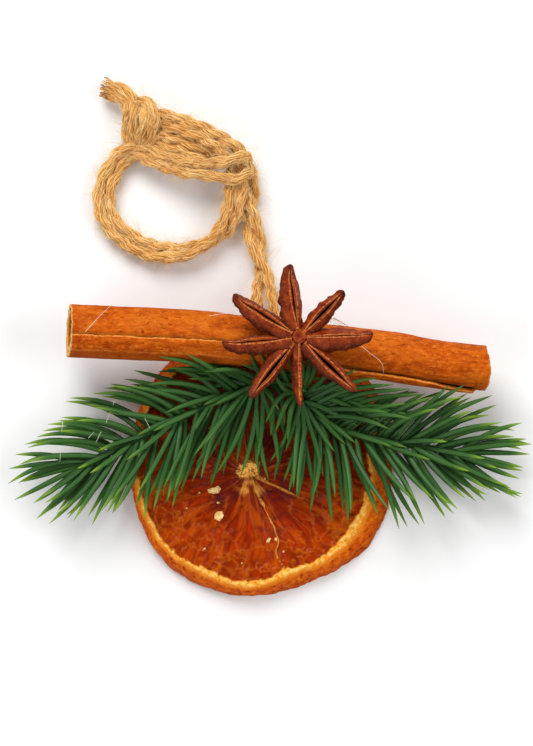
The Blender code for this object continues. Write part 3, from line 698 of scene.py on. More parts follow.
def pod_grid(number, degrees, roll, length, gape, width):
    """A boat-shaped pod: deep keel, bulging flanks, flat lips and a slit closed at its ends."""
    turn, roll = math.radians(degrees), math.radians(roll)
    along = np.array((math.cos(turn), math.sin(turn), 0.0))
    side = np.array((-along[1], along[0], 0.0))
    across = side * math.cos(roll) + UP * math.sin(roll)
    up = UP * math.cos(roll) - side * math.sin(roll)
    share = np.linspace(0.0, 1.0, POD_STATIONS)
    belly = np.sin(np.pi * np.minimum(0.12 + 0.84 * share ** 0.85, 1.0)) ** 0.8
    nose = np.sqrt(np.clip((1.0006 - share) / 0.04, 0.0, 1.0))
    half = lerp(0.50, POD_HALF_WIDTH, belly) * width * nose
    deep = lerp(0.9, POD_HEIGHT, belly) * nose
    swing = np.sin(np.pi * np.clip((share - 0.04) / 0.90, 0.0, 1.0))
    lip = 0.05 + 0.62 * gape * swing ** 1.5
    slit = 0.15 + np.minimum(0.5 * deep, 2.2) * swing
    rim = (0.12 + 0.40 * swing) * min(1.0, 0.3 + 3.0 * gape)
    brim = np.minimum(lip + rim, 0.88 * half)
    mouth = np.minimum(lip, 0.5 * half)
    zero = np.zeros_like(share)
    right = [(0.50 * half, -0.86 * deep), (0.84 * half, -0.66 * deep), (0.98 * half, -0.46 * deep),
             (0.92 * half, -0.26 * deep), (lerp(brim, half, 0.40), -0.11 * deep),
             (brim, zero - 0.02), (lerp(mouth, brim, 0.7), -0.05 * rim),
             (lerp(mouth, brim, 0.25), 0.10 * rim), (mouth, -0.12 * slit),
             (0.7 * mouth, -0.7 * slit)]
    shape = [(zero, -deep)] + right + [(zero, -slit)]
    shape += [(-wide, high) for wide, high in reversed(right)]
    shape = np.array([[wide, high] for wide, high in shape]).transpose(2, 0, 1)
    closed = np.concatenate([shape, shape[:, :1]], axis=1)
    keys = np.linspace(0.0, 1.0, closed.shape[1])
    wanted = np.linspace(0.0, 1.0, POD_COLUMNS, endpoint=False)
    wide = np.stack([np.interp(wanted, keys, row[:, 0]) for row in closed])
    high = np.stack([np.interp(wanted, keys, row[:, 1]) for row in closed])
    crest = np.exp(-((np.abs(wide) - brim[:, None]) / 0.19) ** 2) * (high > -0.2 * deep[:, None])
    edge = np.exp(-((np.abs(wide) - mouth[:, None] - 0.05) / 0.13) ** 2) * (high > -0.2)
    # The faces within the slit, which the finish paints near black as shade.
    inside = ((np.abs(wide) < mouth[:, None] * 1.02) & (high > -slit[:, None] - 0.05)
              & (high < -0.02)).astype(float)
    base = ANISE_CENTRE + along * (length * lerp(POD_START, 1.0, share))[:, None]
    base = base + up * (1.1 * share ** 2 - 0.35 * np.exp(-((share - 0.8) / 0.12) ** 2))[:, None]
    grid = (base[:, None, :] + across * wide[..., None] + up * high[..., None])
    outward = unit(across * wide[..., None] + up * (high + 0.45 * deep[:, None])[..., None])
    local = np.stack([np.broadcast_to((length * share)[:, None], wide.shape), wide + 9.0 * number,
                      high], axis=-1)
    wrinkle = fractal(local / np.array((1.9, 1.8, 1.3)), 2, 401)
    fold = fractal(local / np.array((0.8, 3.0, 1.8)), 3, 411)
    bead = fractal(local / np.array((0.30, 0.9, 0.9)), 2, 421)
    taper = np.minimum(1.0, 6.0 * (1.02 - share))[:, None]
    # The lower part of the pod: it sets the wrinkles, and in the finish it darkens the keel, partly
    # the pod's own darker outer wall and partly painted shade.
    low = ease((-high / deep[:, None].clip(0.1) - 0.05) / 0.40)
    push = (0.72 * wrinkle * low + 0.22 * fold * (0.25 + 0.75 * low)) * (1.0 - inside)
    grid = grid + outward * ((push + 0.32 * bead * crest) * taper)[..., None]
    tip = ease((share - 0.88) / 0.12)[:, None] + np.zeros_like(wide)
    brink = np.maximum(crest * (0.74 + 0.5 * bead), 0.58 * edge) * (1.0 - inside)
    start = 0.5 * np.exp(-(share / 0.022) ** 2)[:, None] * (high > -0.5)
    # The value that darkens flanks facing -Y is painted shade, for flanks turned away from the
    # light at +Y.
    return grid, {"lip": np.maximum(brink * taper, start), "tip": tip, "low": low,
                  "dull": ease((0.10 - outward[..., 1]) / 0.8) * (1.0 - 0.8 * crest),
                  "slit": inside * ease(swing / 0.12)[:, None]}


def hub_grid():
    """The middle column: a dished disc inside a cleft painted dark as shade, on a round stalk."""
    theta = TAU * np.arange(HUB_COLUMNS) / HUB_COLUMNS
    rows = []
    for radius, height in HUB_PROFILE:
        lobes = 0.08 * np.cos(8.0 * theta + 0.8) * (radius > 0.7)
        rough = 0.11 * fractal(polar(theta, 1.6 * radius, height), 3, 431)
        rows.append(polar(theta, radius + lobes + rough * 0.6, height + rough) + ANISE_CENTRE)
    cleft = np.array([float(height < -0.2) for _, height in HUB_PROFILE])
    return np.stack(rows), cleft


def anise_finish():
    finish = Finish("anise_pod", Roughness=0.46, Specular_IOR_Level=0.12)
    base = finish.ramp(finish.noise(1.8, 5.0, rough=0.65), (0.28, (72, 17, 4)),
                       (0.44, (116, 38, 8)), (0.58, (150, 58, 16)), (0.76, (192, 94, 34)))
    # Darker keel: partly the pod's own darker outer wall, partly painted shade.
    low = finish.mix(finish.noise(1.0, 4.0), (38, 10, 5), (104, 36, 14))
    base = finish.lay(base, finish.value("low"), low, 0.80)
    # Painted shade on the flanks that face -Y, away from the light.
    dull = finish.mix(finish.noise(1.3, 4.0), (56, 16, 6), (104, 38, 16))
    base = finish.lay(base, finish.value("dull"), dull, 0.62)
    base = finish.lay(base, finish.fade(finish.noise(0.45, 4.0), 0.57, 0.74), (196, 98, 40), 0.40)
    lip = finish.mix(finish.noise(0.5, 2.0), (168, 80, 30), (226, 142, 76))
    base = finish.mix(finish.fade(finish.value("lip"), 0.32, 0.80), base, lip)
    base = finish.lay(base, finish.value("tip"), (66, 26, 12), 0.6)
    # Painted shade: the slits' insides and the hub's cleft are painted near black.
    finish.set("Base Color", finish.mix(finish.value("slit"), base, (44, 17, 8)))
    finish.bump(finish.noise(0.35, 4.0), 0.7, 0.12)
    return finish.material


def make_star_anise():
    body = Body()
    for number, pod in enumerate(ANISE_PODS):
        grid, values = pod_grid(number, *pod)
        body.add(grid, values)
    hub, cleft = hub_grid()
    body.add(hub, {"lip": 0.0, "slit": cleft[:, None], "tip": 0.0, "low": 0.0, "dull": 0.0})
    piece = body.build("anise_star", anise_finish())
    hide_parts("star_anise")


# ---- pine sprigs

NEEDLE_HALF_WIDTH = 0.62
NEEDLE_HALF_DEPTH = 0.45
NEEDLE_FLOOR = 6.0
NEEDLE_CEILING = 19.4
CEILING_UNDER_ANISE = 17.5
ANISE_REACH = 17.0
NEEDLE_STATIONS = 15
NEEDLE_SHARES = (1.0, 0.9, 0.8, 0.7, 0.6, 0.5, 0.4)
SPRIG_CLEARANCE = 1.0
NEEDLE_SECTION = (
    (1.0, 0.0), (0.88, 0.42), (0.62, 0.50), (0.46, 0.86), (0.24, 0.62), (0.0, 0.95), (-0.24, 0.62),
    (-0.46, 0.86), (-0.62, 0.50), (-0.88, 0.42), (-1.0, 0.0), (-0.6, -0.6), (0.0, -0.8),
    (0.6, -0.6))
LOWER_RANKS = (-12, 12, 36)
UPPER_RANKS = (144, 168, 192)
FRONT_RANKS = (62, 90, 118)
# How far needles stand off the stem's direction, and how long they are, along the stem.
STEM_SHARES = (0.0, 0.1, 0.3, 0.5, 0.65, 0.75, 0.9, 1.0)
LOWER_SPREADS = (52, 46, 47, 50, 44, 36, 22, 12)
LOWER_LENGTHS = (21.0, 22.0, 22.5, 22.0, 21.5, 21.0, 19.5, 18.0)
UPPER_SPREADS = (44, 46, 48, 47, 46, 42, 25, 12)
UPPER_LENGTHS = (17.0, 18.5, 20.0, 20.5, 20.5, 20.0, 19.5, 18.0)
TIP_SPREADS = (-30, -18, -7, 3, 13, 24)
STEM_RADIUS = 0.8
STEM_STATIONS = 40
STEM_SIDES = 10
WHORLS = 13
LEFT_STEM = ((1.2, 19.0, 8.6), (-2.9, 17.8, 8.6), (-9.7, 14.3, 8.4), (-19.1, 9.5, 8.0),
             (-28.2, 5.1, 7.6), (-38.7, 0.4, 7.4))
RIGHT_STEM = ((8.4, 16.0, 8.6), (13.2, 10.8, 8.5), (18.6, 7.8, 8.4), (27.1, 5.7, 8.0),
              (34.7, 4.4, 7.6), (43.9, 2.9, 7.4))
LEFT_COLLAR = (
    (168, 12.0), (188, 14.0), (206, 13.0), (222, 16.0), (238, 20.0), (247, 22.0), (254, 19.0),
    (260, 21.0), (266, 17.5), (271, 20.5), (277, 22.0), (284, 19.0), (292, 15.0))
RIGHT_COLLAR = (
    (226, 12.0), (240, 17.0), (249, 20.0), (256, 18.5), (262, 21.0), (268, 22.5), (274, 18.0),
    (280, 22.5), (287, 19.0), (296, 17.0), (312, 14.0), (335, 13.0), (5, 12.0))

# Needles near the stem's start that cross the stick's lower edge: three points of each.
LEFT_RISERS = (
    ((-5.5, 16.4, 9.5), (-13.4, 22.0, 16.2), (-21.8, 24.1, 18.2)),
    ((-4.5, 17.0, 10.0), (-10.6, 21.6, 17.2), (-15.8, 24.6, 19.2)),
    ((-1.5, 18.0, 10.0), (-6.0, 21.0, 15.5), (-11.7, 20.8, 17.2)),
    ((1.0, 18.4, 9.5), (-3.8, 20.8, 14.8), (-9.5, 21.4, 17.0)),
    ((0.0, 18.4, 9.5), (-5.6, 20.0, 13.0), (-12.0, 22.2, 15.6)),
    ((2.0, 18.8, 9.5), (0.2, 21.0, 15.6), (-3.8, 22.4, 17.8)),
    ((2.2, 18.6, 10.0), (1.8, 21.4, 16.8), (0.4, 24.9, 19.2)),
    ((2.8, 18.2, 10.0), (3.4, 21.2, 16.8), (3.6, 25.2, 19.2)),
    ((-8.0, 15.2, 9.0), (-13.0, 19.4, 12.0), (-19.0, 21.6, 13.6)),
    ((1.0, 17.5, 9.5), (2.4, 15.6, 15.0), (4.4, 12.4, 16.6)),
    ((0.0, 18.0, 9.5), (0.2, 20.4, 14.6), (5.2, 22.4, 17.0)),
    ((2.4, 18.2, 9.5), (4.8, 15.8, 13.4), (5.6, 9.0, 12.0)),
    ((2.0, 18.6, 9.5), (6.2, 18.0, 13.0), (10.5, 16.4, 14.6)),
    ((1.4, 18.0, 9.5), (3.2, 14.0, 13.0), (2.6, 6.6, 11.6)),
    ((1.6, 18.6, 10.0), (-0.6, 21.6, 16.6), (-1.8, 24.6, 19.0)),
    ((2.6, 18.4, 10.0), (2.6, 21.6, 16.6), (2.0, 25.4, 19.2)),
    ((2.0, 19.0, 9.5), (8.5, 20.5, 12.0), (15.5, 20.7, 13.0)),
    ((1.0, 18.2, 9.8), (8.0, 19.4, 11.4), (14.0, 19.2, 12.0)),
    ((-2.0, 17.6, 9.5), (-8.5, 19.2, 11.5), (-15.5, 19.2, 12.5)),
    ((-1.0, 17.8, 9.5), (-7.0, 20.4, 12.6), (-13.6, 20.4, 14.0)))
RIGHT_RISERS = (
    ((8.2, 16.4, 9.5), (7.4, 20.4, 16.0), (6.4, 24.8, 19.2)),
    ((8.6, 16.2, 9.5), (9.6, 20.2, 16.0), (9.2, 24.8, 19.2)),
    ((9.0, 15.8, 9.5), (11.6, 20.0, 15.8), (12.6, 24.2, 19.2)),
    ((9.6, 15.4, 9.5), (14.0, 19.2, 15.5), (16.2, 23.0, 18.9)),
    ((10.0, 15.0, 9.5), (16.5, 18.4, 14.5), (21.0, 21.3, 18.0)),
    ((10.4, 14.2, 9.5), (18.0, 17.8, 14.0), (25.6, 19.4, 17.0)),
    ((11.4, 13.2, 9.5), (19.6, 16.8, 13.0), (29.5, 18.0, 15.6)),
    ((13.0, 12.0, 9.0), (22.0, 15.8, 12.5), (33.0, 17.0, 14.5)),
    ((15.0, 10.6, 9.0), (25.0, 14.8, 11.5), (36.0, 15.8, 13.0)),
    ((8.6, 16.0, 9.5), (7.0, 19.6, 13.4), (1.6, 21.6, 16.4)),
    ((9.4, 15.4, 9.5), (12.4, 17.0, 12.6), (19.0, 18.6, 13.6)),
    ((8.4, 16.0, 9.5), (5.6, 16.8, 14.6), (3.4, 20.2, 16.6)),
    ((8.4, 16.0, 9.5), (5.8, 13.5, 15.5), (3.6, 7.5, 14.0)),
    ((8.2, 16.2, 9.5), (4.6, 15.2, 15.8), (1.4, 9.6, 15.0)),
    ((8.6, 15.8, 9.5), (7.0, 12.4, 15.0), (6.2, 5.6, 13.2)),
    ((7.6, 16.6, 9.5), (5.2, 20.6, 16.2), (4.8, 24.9, 19.0)),
    ((8.8, 16.2, 9.5), (8.4, 20.4, 16.2), (7.8, 25.0, 19.0)),
    ((9.2, 15.6, 9.5), (10.6, 20.0, 16.0), (11.0, 24.4, 19.0)),
    ((10.5, 14.4, 9.5), (18.0, 15.6, 11.4), (27.0, 16.2, 12.0)),
    ((11.5, 13.4, 9.2), (20.0, 14.6, 10.8), (30.0, 15.0, 11.2)),
    ((10.0, 15.2, 9.5), (17.5, 17.0, 12.4), (24.5, 17.4, 13.2)),
    ((13.0, 11.6, 9.0), (21.0, 13.2, 10.4), (30.5, 13.0, 10.8)),
    ((28.5, 5.8, 8.4), (36.3, 12.8, 12.4), (41.6, 17.8, 16.0)),
    ((31.0, 5.6, 8.3), (39.2, 14.1, 12.6), (45.0, 17.9, 15.8)),
    ((35.1, 5.4, 8.0), (42.2, 11.8, 11.0), (51.2, 15.6, 12.0)))


def needle_route(root, tangent, outward, spread, bend, length):
    """A needle leaves the stem at the spread angle, which changes by the bend along it."""
    share = (np.arange(NEEDLE_STATIONS - 1) + 0.5) / (NEEDLE_STATIONS - 1)
    heading = np.radians(spread + bend * share)[:, None]
    steps = (tangent * np.cos(heading) + outward * np.sin(heading)) * length / len(share)
    route = np.vstack([root, root + np.cumsum(steps, axis=0)])
    clear = ease((np.linalg.norm(route[:, :2] - ANISE_CENTRE[:2], axis=1) - ANISE_REACH) / 5.0)
    ceiling = lerp(CEILING_UNDER_ANISE, NEEDLE_CEILING, clear)
    route[:, 2] = np.clip(route[:, 2], NEEDLE_FLOOR, ceiling)
    return route


def shortened(route, share):
    place = np.linspace(0.0, 1.0, len(route))
    return np.stack([np.interp(place * share, place, column) for column in route.T], axis=1)


def fitted_needle(route, stick_route, taken):
    """Shorten a needle until it clears the stick and the other sprig, or leave it out."""
    stick_reach = STICK_LEFT_RADIUS + LIP_STAND_OFF + NEEDLE_HALF_WIDTH
    for share in NEEDLE_SHARES:
        points = shortened(route, share)
        apart = np.linalg.norm(points[:, None] - stick_route[None], axis=-1).min()
        if apart <= stick_reach:
            continue
        if len(taken) and np.linalg.norm(points[:, None] - taken[None],
                                         axis=-1).min() < SPRIG_CLEARANCE:
            continue
        return points
    return None


def side_needle(share, lower, rng):
    """Spread, bend and length of a needle beside the stem."""
    spreads, lengths = (LOWER_SPREADS, LOWER_LENGTHS) if lower else (UPPER_SPREADS, UPPER_LENGTHS)
    middle = np.interp(share, STEM_SHARES, spreads) + rng.uniform(-9.0, 9.0)
    bend = lerp(10.0, -24.0, share) if lower else -34.0
    bend = bend + rng.uniform(-22.0, 22.0)
    length = np.interp(share, STEM_SHARES, lengths) * rng.uniform(0.78, 1.03)
    return middle - 0.5 * bend, bend, length


def front_needle(rng):
    """Spread, bend and length of a shorter needle that lies along the stem's front."""
    return rng.uniform(24.0, 38.0), rng.uniform(-30.0, -18.0), rng.uniform(10.0, 15.0)


def sprig_needles(stem, seed, base_side, collar):
    """Each needle's route, and how far out on the sprig it grows."""
    rng = random.Random(seed)
    directions = tangents(stem)
    routes = []

    def grow(share, rank, shape):
        place = min(share, 0.999) * (len(stem) - 1)
        root = lerp(stem[int(place)], stem[int(place) + 1], place - int(place))
        tangent = directions[int(place)]
        turn = math.radians(rank + rng.uniform(-9.0, 9.0))
        outward = unit(np.cross(tangent, UP)) * (base_side * math.cos(turn)) + UP * math.sin(turn)
        routes.append((needle_route(root, tangent, outward, *shape), share))

    for whorl in range(WHORLS):
        for rank in LOWER_RANKS + UPPER_RANKS:
            share = (whorl + 0.5 + rng.uniform(-0.45, 0.45)) / WHORLS
            grow(share, rank, side_needle(share, rank < 90, rng))
        share = (whorl + 0.5) / WHORLS
        if whorl % 4 != 3:
            grow(share, FRONT_RANKS[whorl % 3], front_needle(rng))
    for spread in TIP_SPREADS:
        grow(1.0, rng.uniform(-10.0, 30.0), (1.6 * spread, -0.9 * spread, rng.uniform(14.0, 17.5)))
    for number, (degrees, length) in enumerate(collar):
        heading = math.radians(degrees)
        ahead = np.array((math.cos(heading), math.sin(heading), 0.0))
        root = stem[0] + directions[0] * rng.uniform(0.0, 2.5)
        outward = np.array((-ahead[1], ahead[0], 0.0)) * rng.choice((-1.0, 1.0)) + UP * 0.5
        sway = rng.uniform(6.0, 14.0)
        routes.append((needle_route(root + UP * 0.9 * (number % 3), ahead, unit(outward),
                                    sway, -2.0 * sway, length), 0.1))
    return routes


def needle_grid(route):
    """A flattened needle with three ridges along its front and a pointed tip."""
    along = tangents(route)
    across = unit(np.cross(along, UP))
    above = np.cross(across, along)
    share = np.linspace(0.0, 1.0, len(route))
    taper = (1.0 - 0.96 * share ** 5) * (0.75 + 0.25 * ease(share / 0.2))
    grid = [route + across * (wide * NEEDLE_HALF_WIDTH * taper)[:, None]
            + above * (high * NEEDLE_HALF_DEPTH * taper)[:, None] for wide, high in NEEDLE_SECTION]
    return np.stack(grid, axis=1), share


def pine_finish():
    finish = Finish("pine_plastic", Roughness=0.42, Specular_IOR_Level=0.20)
    along = finish.value("along")
    green = finish.ramp(finish.value("tone"), (0.0, (20, 50, 14)), (0.5, (36, 76, 26)),
                        (1.0, (56, 100, 32)))
    green = finish.lay(green, finish.fade(along, 0.30, 0.9), (50, 100, 30), 0.8)
    # Painted highlight: lighter lines along the needles' ridges stand in for their sheen.
    green = finish.lay(green, finish.value("ridge"), (86, 134, 66), 0.6)
    green = finish.lay(green, finish.fade(along, 0.70, 1.0), (150, 186, 50), finish.value("ripe"))
    finish.set("Base Color", finish.lay(green, finish.noise(4.0), (24, 62, 34), 0.35))
    finish.bump(finish.noise(0.4, 2.0), 0.25, 0.05)
    return finish.material


def make_sprig(name, node, stem_points, seed, base_side, collar, risers, taken, material):
    stem = smooth_route(stem_points, 10)
    stick_route = smooth_route(STICK_POINTS, 90)
    rng = random.Random(seed + 100)
    body = Body()
    radii = np.full(STEM_STATIONS, STEM_RADIUS)
    body.add(tube(smooth_route(stem_points, STEM_STATIONS), radii, STEM_SIDES),
             {"tone": 0.25, "along": 0.0, "ridge": 0.0, "ripe": 0.0})
    # Which of the section's points lie on the ridges that get a painted highlight.
    ridge = np.array([high > 0.8 for _, high in NEEDLE_SECTION], float)
    kept = []
    grown = sprig_needles(stem, seed, base_side, collar)
    rising = [(smooth_route(points, NEEDLE_STATIONS), 0.2) for points in risers]
    for number, (route, out) in enumerate(grown + rising):
        fitted = fitted_needle(route, stick_route, taken) if number < len(grown) else route
        if fitted is not None:
            kept.append(fitted)
            grid, share = needle_grid(fitted)
            # Tone is random, and lower on needles nearer the stem's base: painted shade where they
            # crowd under the stick and anise.
            body.add(grid, {"tone": rng.uniform(0.0, 1.0) * lerp(0.7, 1.0, out),
                            "along": share[:, None], "ridge": ridge[None, :],
                            "ripe": lerp(0.15, 1.0, ease((out - 0.2) / 0.6))})
    piece = body.build(name, material)
    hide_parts(node)
    return np.vstack(kept)


def make_sprigs():
    material = pine_finish()
    taken = make_sprig("pine_left", "pine_sprig_left", LEFT_STEM, 5, -1.0, LEFT_COLLAR,
                       LEFT_RISERS, [], material)
    make_sprig("pine_right", "pine_sprig_right", RIGHT_STEM, 8, 1.0, RIGHT_COLLAR,
               RIGHT_RISERS, taken, material)


# ---- hanger

# The twine's route, in metres as the solids have it. A twisted point has two more numbers: how
# far the pair is turned, in turns, and how far each twine lies from the pair's middle. A laid
# point has three more instead: the way from the pair's middle to its first twine.
STEM_ROUTE = (
    (0.0016, 0.0286, 0.0064, 0.00, 0.0018), (0.0014, 0.0316, 0.0063, 0.00, 0.0019),
    (0.0012, 0.0365, 0.0054, 0.02, 0.0018), (0.0009, 0.0409, 0.0040, 0.10, 0.0014),
    (0.0004, 0.0449, 0.0030, 0.26, 0.0012), (-0.0008, 0.0497, 0.0026, 0.46, 0.0011),
    (-0.0016, 0.0541, 0.0026, 0.64, 0.0011), (-0.0019, 0.0580, 0.0026, 0.82, 0.0011))
LOWER_BAND = (
    (-0.0023, 0.0615, 0.0026, 0.0011, 0.0002, -0.0003),
    (-0.0029, 0.0645, 0.0027, 0.0009, 0.0010, -0.0002),
    (-0.0027, 0.0664, 0.0044, -0.0003, 0.0018, 0.0000),
    (-0.0032, 0.0662, 0.0066, -0.0004, 0.0020, 0.0001),
    (-0.0055, 0.0653, 0.0076, 0.0001, 0.0023, 0.0001),
    (-0.0090, 0.0652, 0.0075, 0.0001, 0.0016, 0.0001),
    (-0.0125, 0.0654, 0.0072, 0.0000, 0.0013, 0.0000),
    (-0.0177, 0.0661, 0.0066, 0.0001, 0.0012, 0.0000),
    (-0.0222, 0.0676, 0.0056, 0.0002, 0.0011, 0.0000),
    (-0.0262, 0.0693, 0.0042, 0.0002, 0.0011, 0.0000))
RING_ROUTE = (
    (-0.0294, 0.0688, 0.0030, 1.03, 0.0012), (-0.0317, 0.0662, 0.0026, 1.04, 0.0012),
    (-0.0336, 0.0628, 0.0025, 1.03, 0.0012), (-0.0343, 0.0590, 0.0025, 1.02, 0.0012),
    (-0.0336, 0.0552, 0.0025, 1.02, 0.0012), (-0.0307, 0.0514, 0.0025, 1.02, 0.0012),
    (-0.0263, 0.0485, 0.0025, 1.04, 0.0012), (-0.0211, 0.0471, 0.0025, 1.07, 0.0012),
    (-0.0159, 0.0474, 0.0025, 1.14, 0.0012), (-0.0109, 0.0496, 0.0026, 1.26, 0.0012),
    (-0.0076, 0.0524, 0.0036, 1.38, 0.0012), (-0.0060, 0.0558, 0.0052, 1.46, 0.0012),
    (-0.0054, 0.0592, 0.0057, 1.50, 0.0012))
UPPER_BAND = (
    (-0.0050, 0.0625, 0.0052, -0.0012, 0.0000, 0.0000),
    (-0.0047, 0.0656, 0.0046, -0.0012, -0.0003, 0.0000),
    (-0.0052, 0.0684, 0.0047, -0.0010, -0.0010, 0.0000),
    (-0.0078, 0.0707, 0.0057, -0.0004, -0.0012, 0.0000),
    (-0.0125, 0.0734, 0.0064, 0.0001, -0.0012, 0.0001),
    (-0.0176, 0.0753, 0.0062, 0.0002, -0.0012, 0.0001),
    (-0.0212, 0.0762, 0.0050, 0.0002, -0.0012, 0.0000))
STOPPER = (
    (-0.0238, 0.0757, 0.0034, 0.0000, -0.0011, 0.0000),
    (-0.0256, 0.0756, 0.0028, -0.0005, -0.0009, 0.0000),
    (-0.0266, 0.0772, 0.0036, -0.0011, 0.0000, 0.0000),
    (-0.0260, 0.0790, 0.0056, -0.0006, 0.0009, 0.0001),
    (-0.0246, 0.0786, 0.0075, 0.0006, 0.0009, 0.0001),
    (-0.0240, 0.0762, 0.0080, 0.0010, 0.0002, 0.0000),
    (-0.0246, 0.0737, 0.0068, 0.0010, -0.0002, 0.0000),
    (-0.0254, 0.0715, 0.0044, 0.0008, -0.0006, -0.0002),
    (-0.0272, 0.0713, 0.0030, -0.0002, -0.0009, -0.0004),
    (-0.0284, 0.0735, 0.0040, -0.0008, -0.0002, -0.0006),
    (-0.0283, 0.0762, 0.0054, -0.0007, 0.0000, -0.0008),
    (-0.0279, 0.0783, 0.0056, -0.0008, 0.0001, -0.0007))
TAIL_ROUTE = (
    (-0.0287, 0.0806, 0.0043, -0.0008, -0.0005, -0.0004),
    (-0.0300, 0.0818, 0.0034, -0.0004, -0.0009, 0.0000),
    (-0.0323, 0.0828, 0.0028, -0.0001, -0.0010, 0.0003),
    (-0.0349, 0.0836, 0.0026, -0.0001, -0.0010, 0.0004))
KNOT_CORE = (
    (-0.0246, 0.0722, 0.0044, 0.0000, 0.0010, 0.0003),
    (-0.0212, 0.0716, 0.0048, 0.0002, 0.0011, 0.0003),
    (-0.0170, 0.0705, 0.0050, 0.0003, 0.0011, 0.0002),
    (-0.0132, 0.0690, 0.0047, 0.0004, 0.0011, 0.0001),
    (-0.0092, 0.0672, 0.0038, 0.0004, 0.0010, 0.0001))
PLY_RADIUS = 0.93
PLY_OFFSET = 0.46
PLY_PITCH = 9.5
STATION_SPACING = 0.625
FIBRES = 24
FIBRE_RADIUS = 0.115
FIBRE_PITCH = 16.0
HAIRS = 2800
HAIR_RADIUS = 0.048
RAGGED_STATIONS = 3
LOWEST_FIBRE = 0.06
LOWEST_HAIR = 0.1


def turned(across, above, turns):
    angle = (TAU * turns)[:, None]
    return across * np.cos(angle) + above * np.sin(angle)


def twisted(points):
    """Turn twisted points into laid ones, in millimetres."""
    points = np.array(points) * (1.0 / MM, 1.0 / MM, 1.0 / MM, 1.0, 1.0 / MM)
    along = tangents(points[:, :3])
    level = unit(np.cross(along, UP))
    aside = turned(level, np.cross(level, along), points[:, 3]) * points[:, 4:]
    return np.hstack([points[:, :3], aside])


def laid(points):
    return np.array(points) / MM


def carried_frame(line):
    """Two square directions at each point of a line, carried along it without a twist."""
    along = tangents(line)
    aside = np.cross(along[0], UP)
    sides = []
    for heading in along:
        aside = unit(aside - heading * (aside @ heading))
        sides.append(aside)
    sides = np.array(sides)
    return sides, np.cross(sides, along)


def plies_along(rows, number):
    """The line and two square directions of each of the four plies of a pair of twines."""
    rows = smooth_route(rows, int(distances(rows)[-1] / STATION_SPACING))
    plies = []
    for twine, way in enumerate((1.0, -1.0)):
        middle = rows[:, :3] + way * rows[:, 3:]
        side, above = carried_frame(middle)
        travelled = distances(middle)
        place = line_place(travelled / 7.0, 3.1 * twine + number)
        for ply in range(2):
            turns = travelled / PLY_PITCH + 0.5 * ply + 0.21 * twine + 0.12 * noise(place, 499)
            plies.append((middle + turned(side, above, turns) * PLY_OFFSET, side, above,
                          travelled))
    return rows[:, :3], plies


def add_ply(body, number, ply, rng):
    """A core with fibres laid round it, which drift, thin out and splay a little at the end."""
    line, side, above, travelled = ply
    place = line_place(travelled / 2.5, 5.0 * number)
    thick = PLY_RADIUS * (1.0 + 0.09 * fractal(place, 3, 501))
    splay = 1.0 + 0.15 * ease((travelled - travelled[-1] + 2.0) / 2.0)
    core = tube(line[:-RAGGED_STATIONS], thick[:-RAGGED_STATIONS] * 0.90, 8)
    core[..., 2] = np.maximum(core[..., 2], LOWEST_FIBRE)
    # The core gets the darkest tone: painted shade showing in the gaps between the fibres.
    body.add(core, {"tone": 0.12})
    for fibre in range(FIBRES):
        seed = 510 + fibre + 20 * number
        drift = fractal(place * 0.8, 2, seed)
        turns = fibre / FIBRES - travelled / FIBRE_PITCH + 0.13 * drift
        reach = thick * (0.93 + 0.10 * fractal(place * 1.7, 2, seed + 300)) * splay
        path = line + turned(side, above, turns) * reach[:, None]
        width = FIBRE_RADIUS * (1.0 + 0.45 * fractal(place * 2.0, 2, seed + 600))
        tone = rng.uniform(0.32, 0.80) + 0.36 * fractal(place * 1.3, 2, seed + 900)
        tone = tone - 0.42 * ease((travelled - travelled[-1] + 4.0) / 4.0)
        kept = len(path) - rng.randrange(RAGGED_STATIONS + 1)
        strand = tube(path[:kept], np.maximum(width, 0.05)[:kept], 3)
        strand[..., 2] = np.maximum(strand[..., 2], LOWEST_FIBRE)
        body.add(strand, {"tone": np.clip(tone, 0, 1)[:kept, None]})


def add_hair(body, ply, rng):
    """A loose fibre that leaves the twine at a low angle, or lies along it."""
    line, side, above, _ = ply
    spot = rng.randrange(4, len(line) - 4)
    outward = turned(side[spot:spot + 1], above[spot:spot + 1],
                     np.array([rng.uniform(0.0, 1.0)]))[0]
    along = unit(line[spot + 2] - line[spot - 2]) * rng.choice((-1.0, 1.0))
    aside = np.cross(outward, along)
    length = rng.uniform(0.8, 5.0)
    lift = 0.05 + 0.8 * rng.random() ** 3
    sway = rng.uniform(-1.1, 1.1)
    share = np.linspace(0.0, 1.0, 8)[:, None]
    path = (line[spot] + outward * (PLY_RADIUS * 0.95 + lift * np.sin(2.2 * share))
            + along * (length * share) + aside * (sway * length * share ** 2))
    path[:, 2] = np.maximum(path[:, 2], LOWEST_HAIR)
    radii = HAIR_RADIUS * (1.0 - 0.5 * share[:, 0])
    body.add(tube(path, radii, 3), {"tone": rng.uniform(0.65, 1.0)})


def jute_finish():
    finish = Finish("jute_twine", Roughness=0.85, Specular_IOR_Level=0.12)
    shade = finish.ramp(finish.value("tone"), (0.0, (128, 74, 22)), (0.35, (234, 172, 92)),
                        (0.7, (255, 212, 136)), (1.0, (255, 240, 186)))
    finish.set("Base Color", finish.lay(shade, finish.noise(3.0), (238, 174, 98), 0.35))
    finish.bump(finish.noise(0.15, 2.0), 0.4, 0.05)
    return finish.material


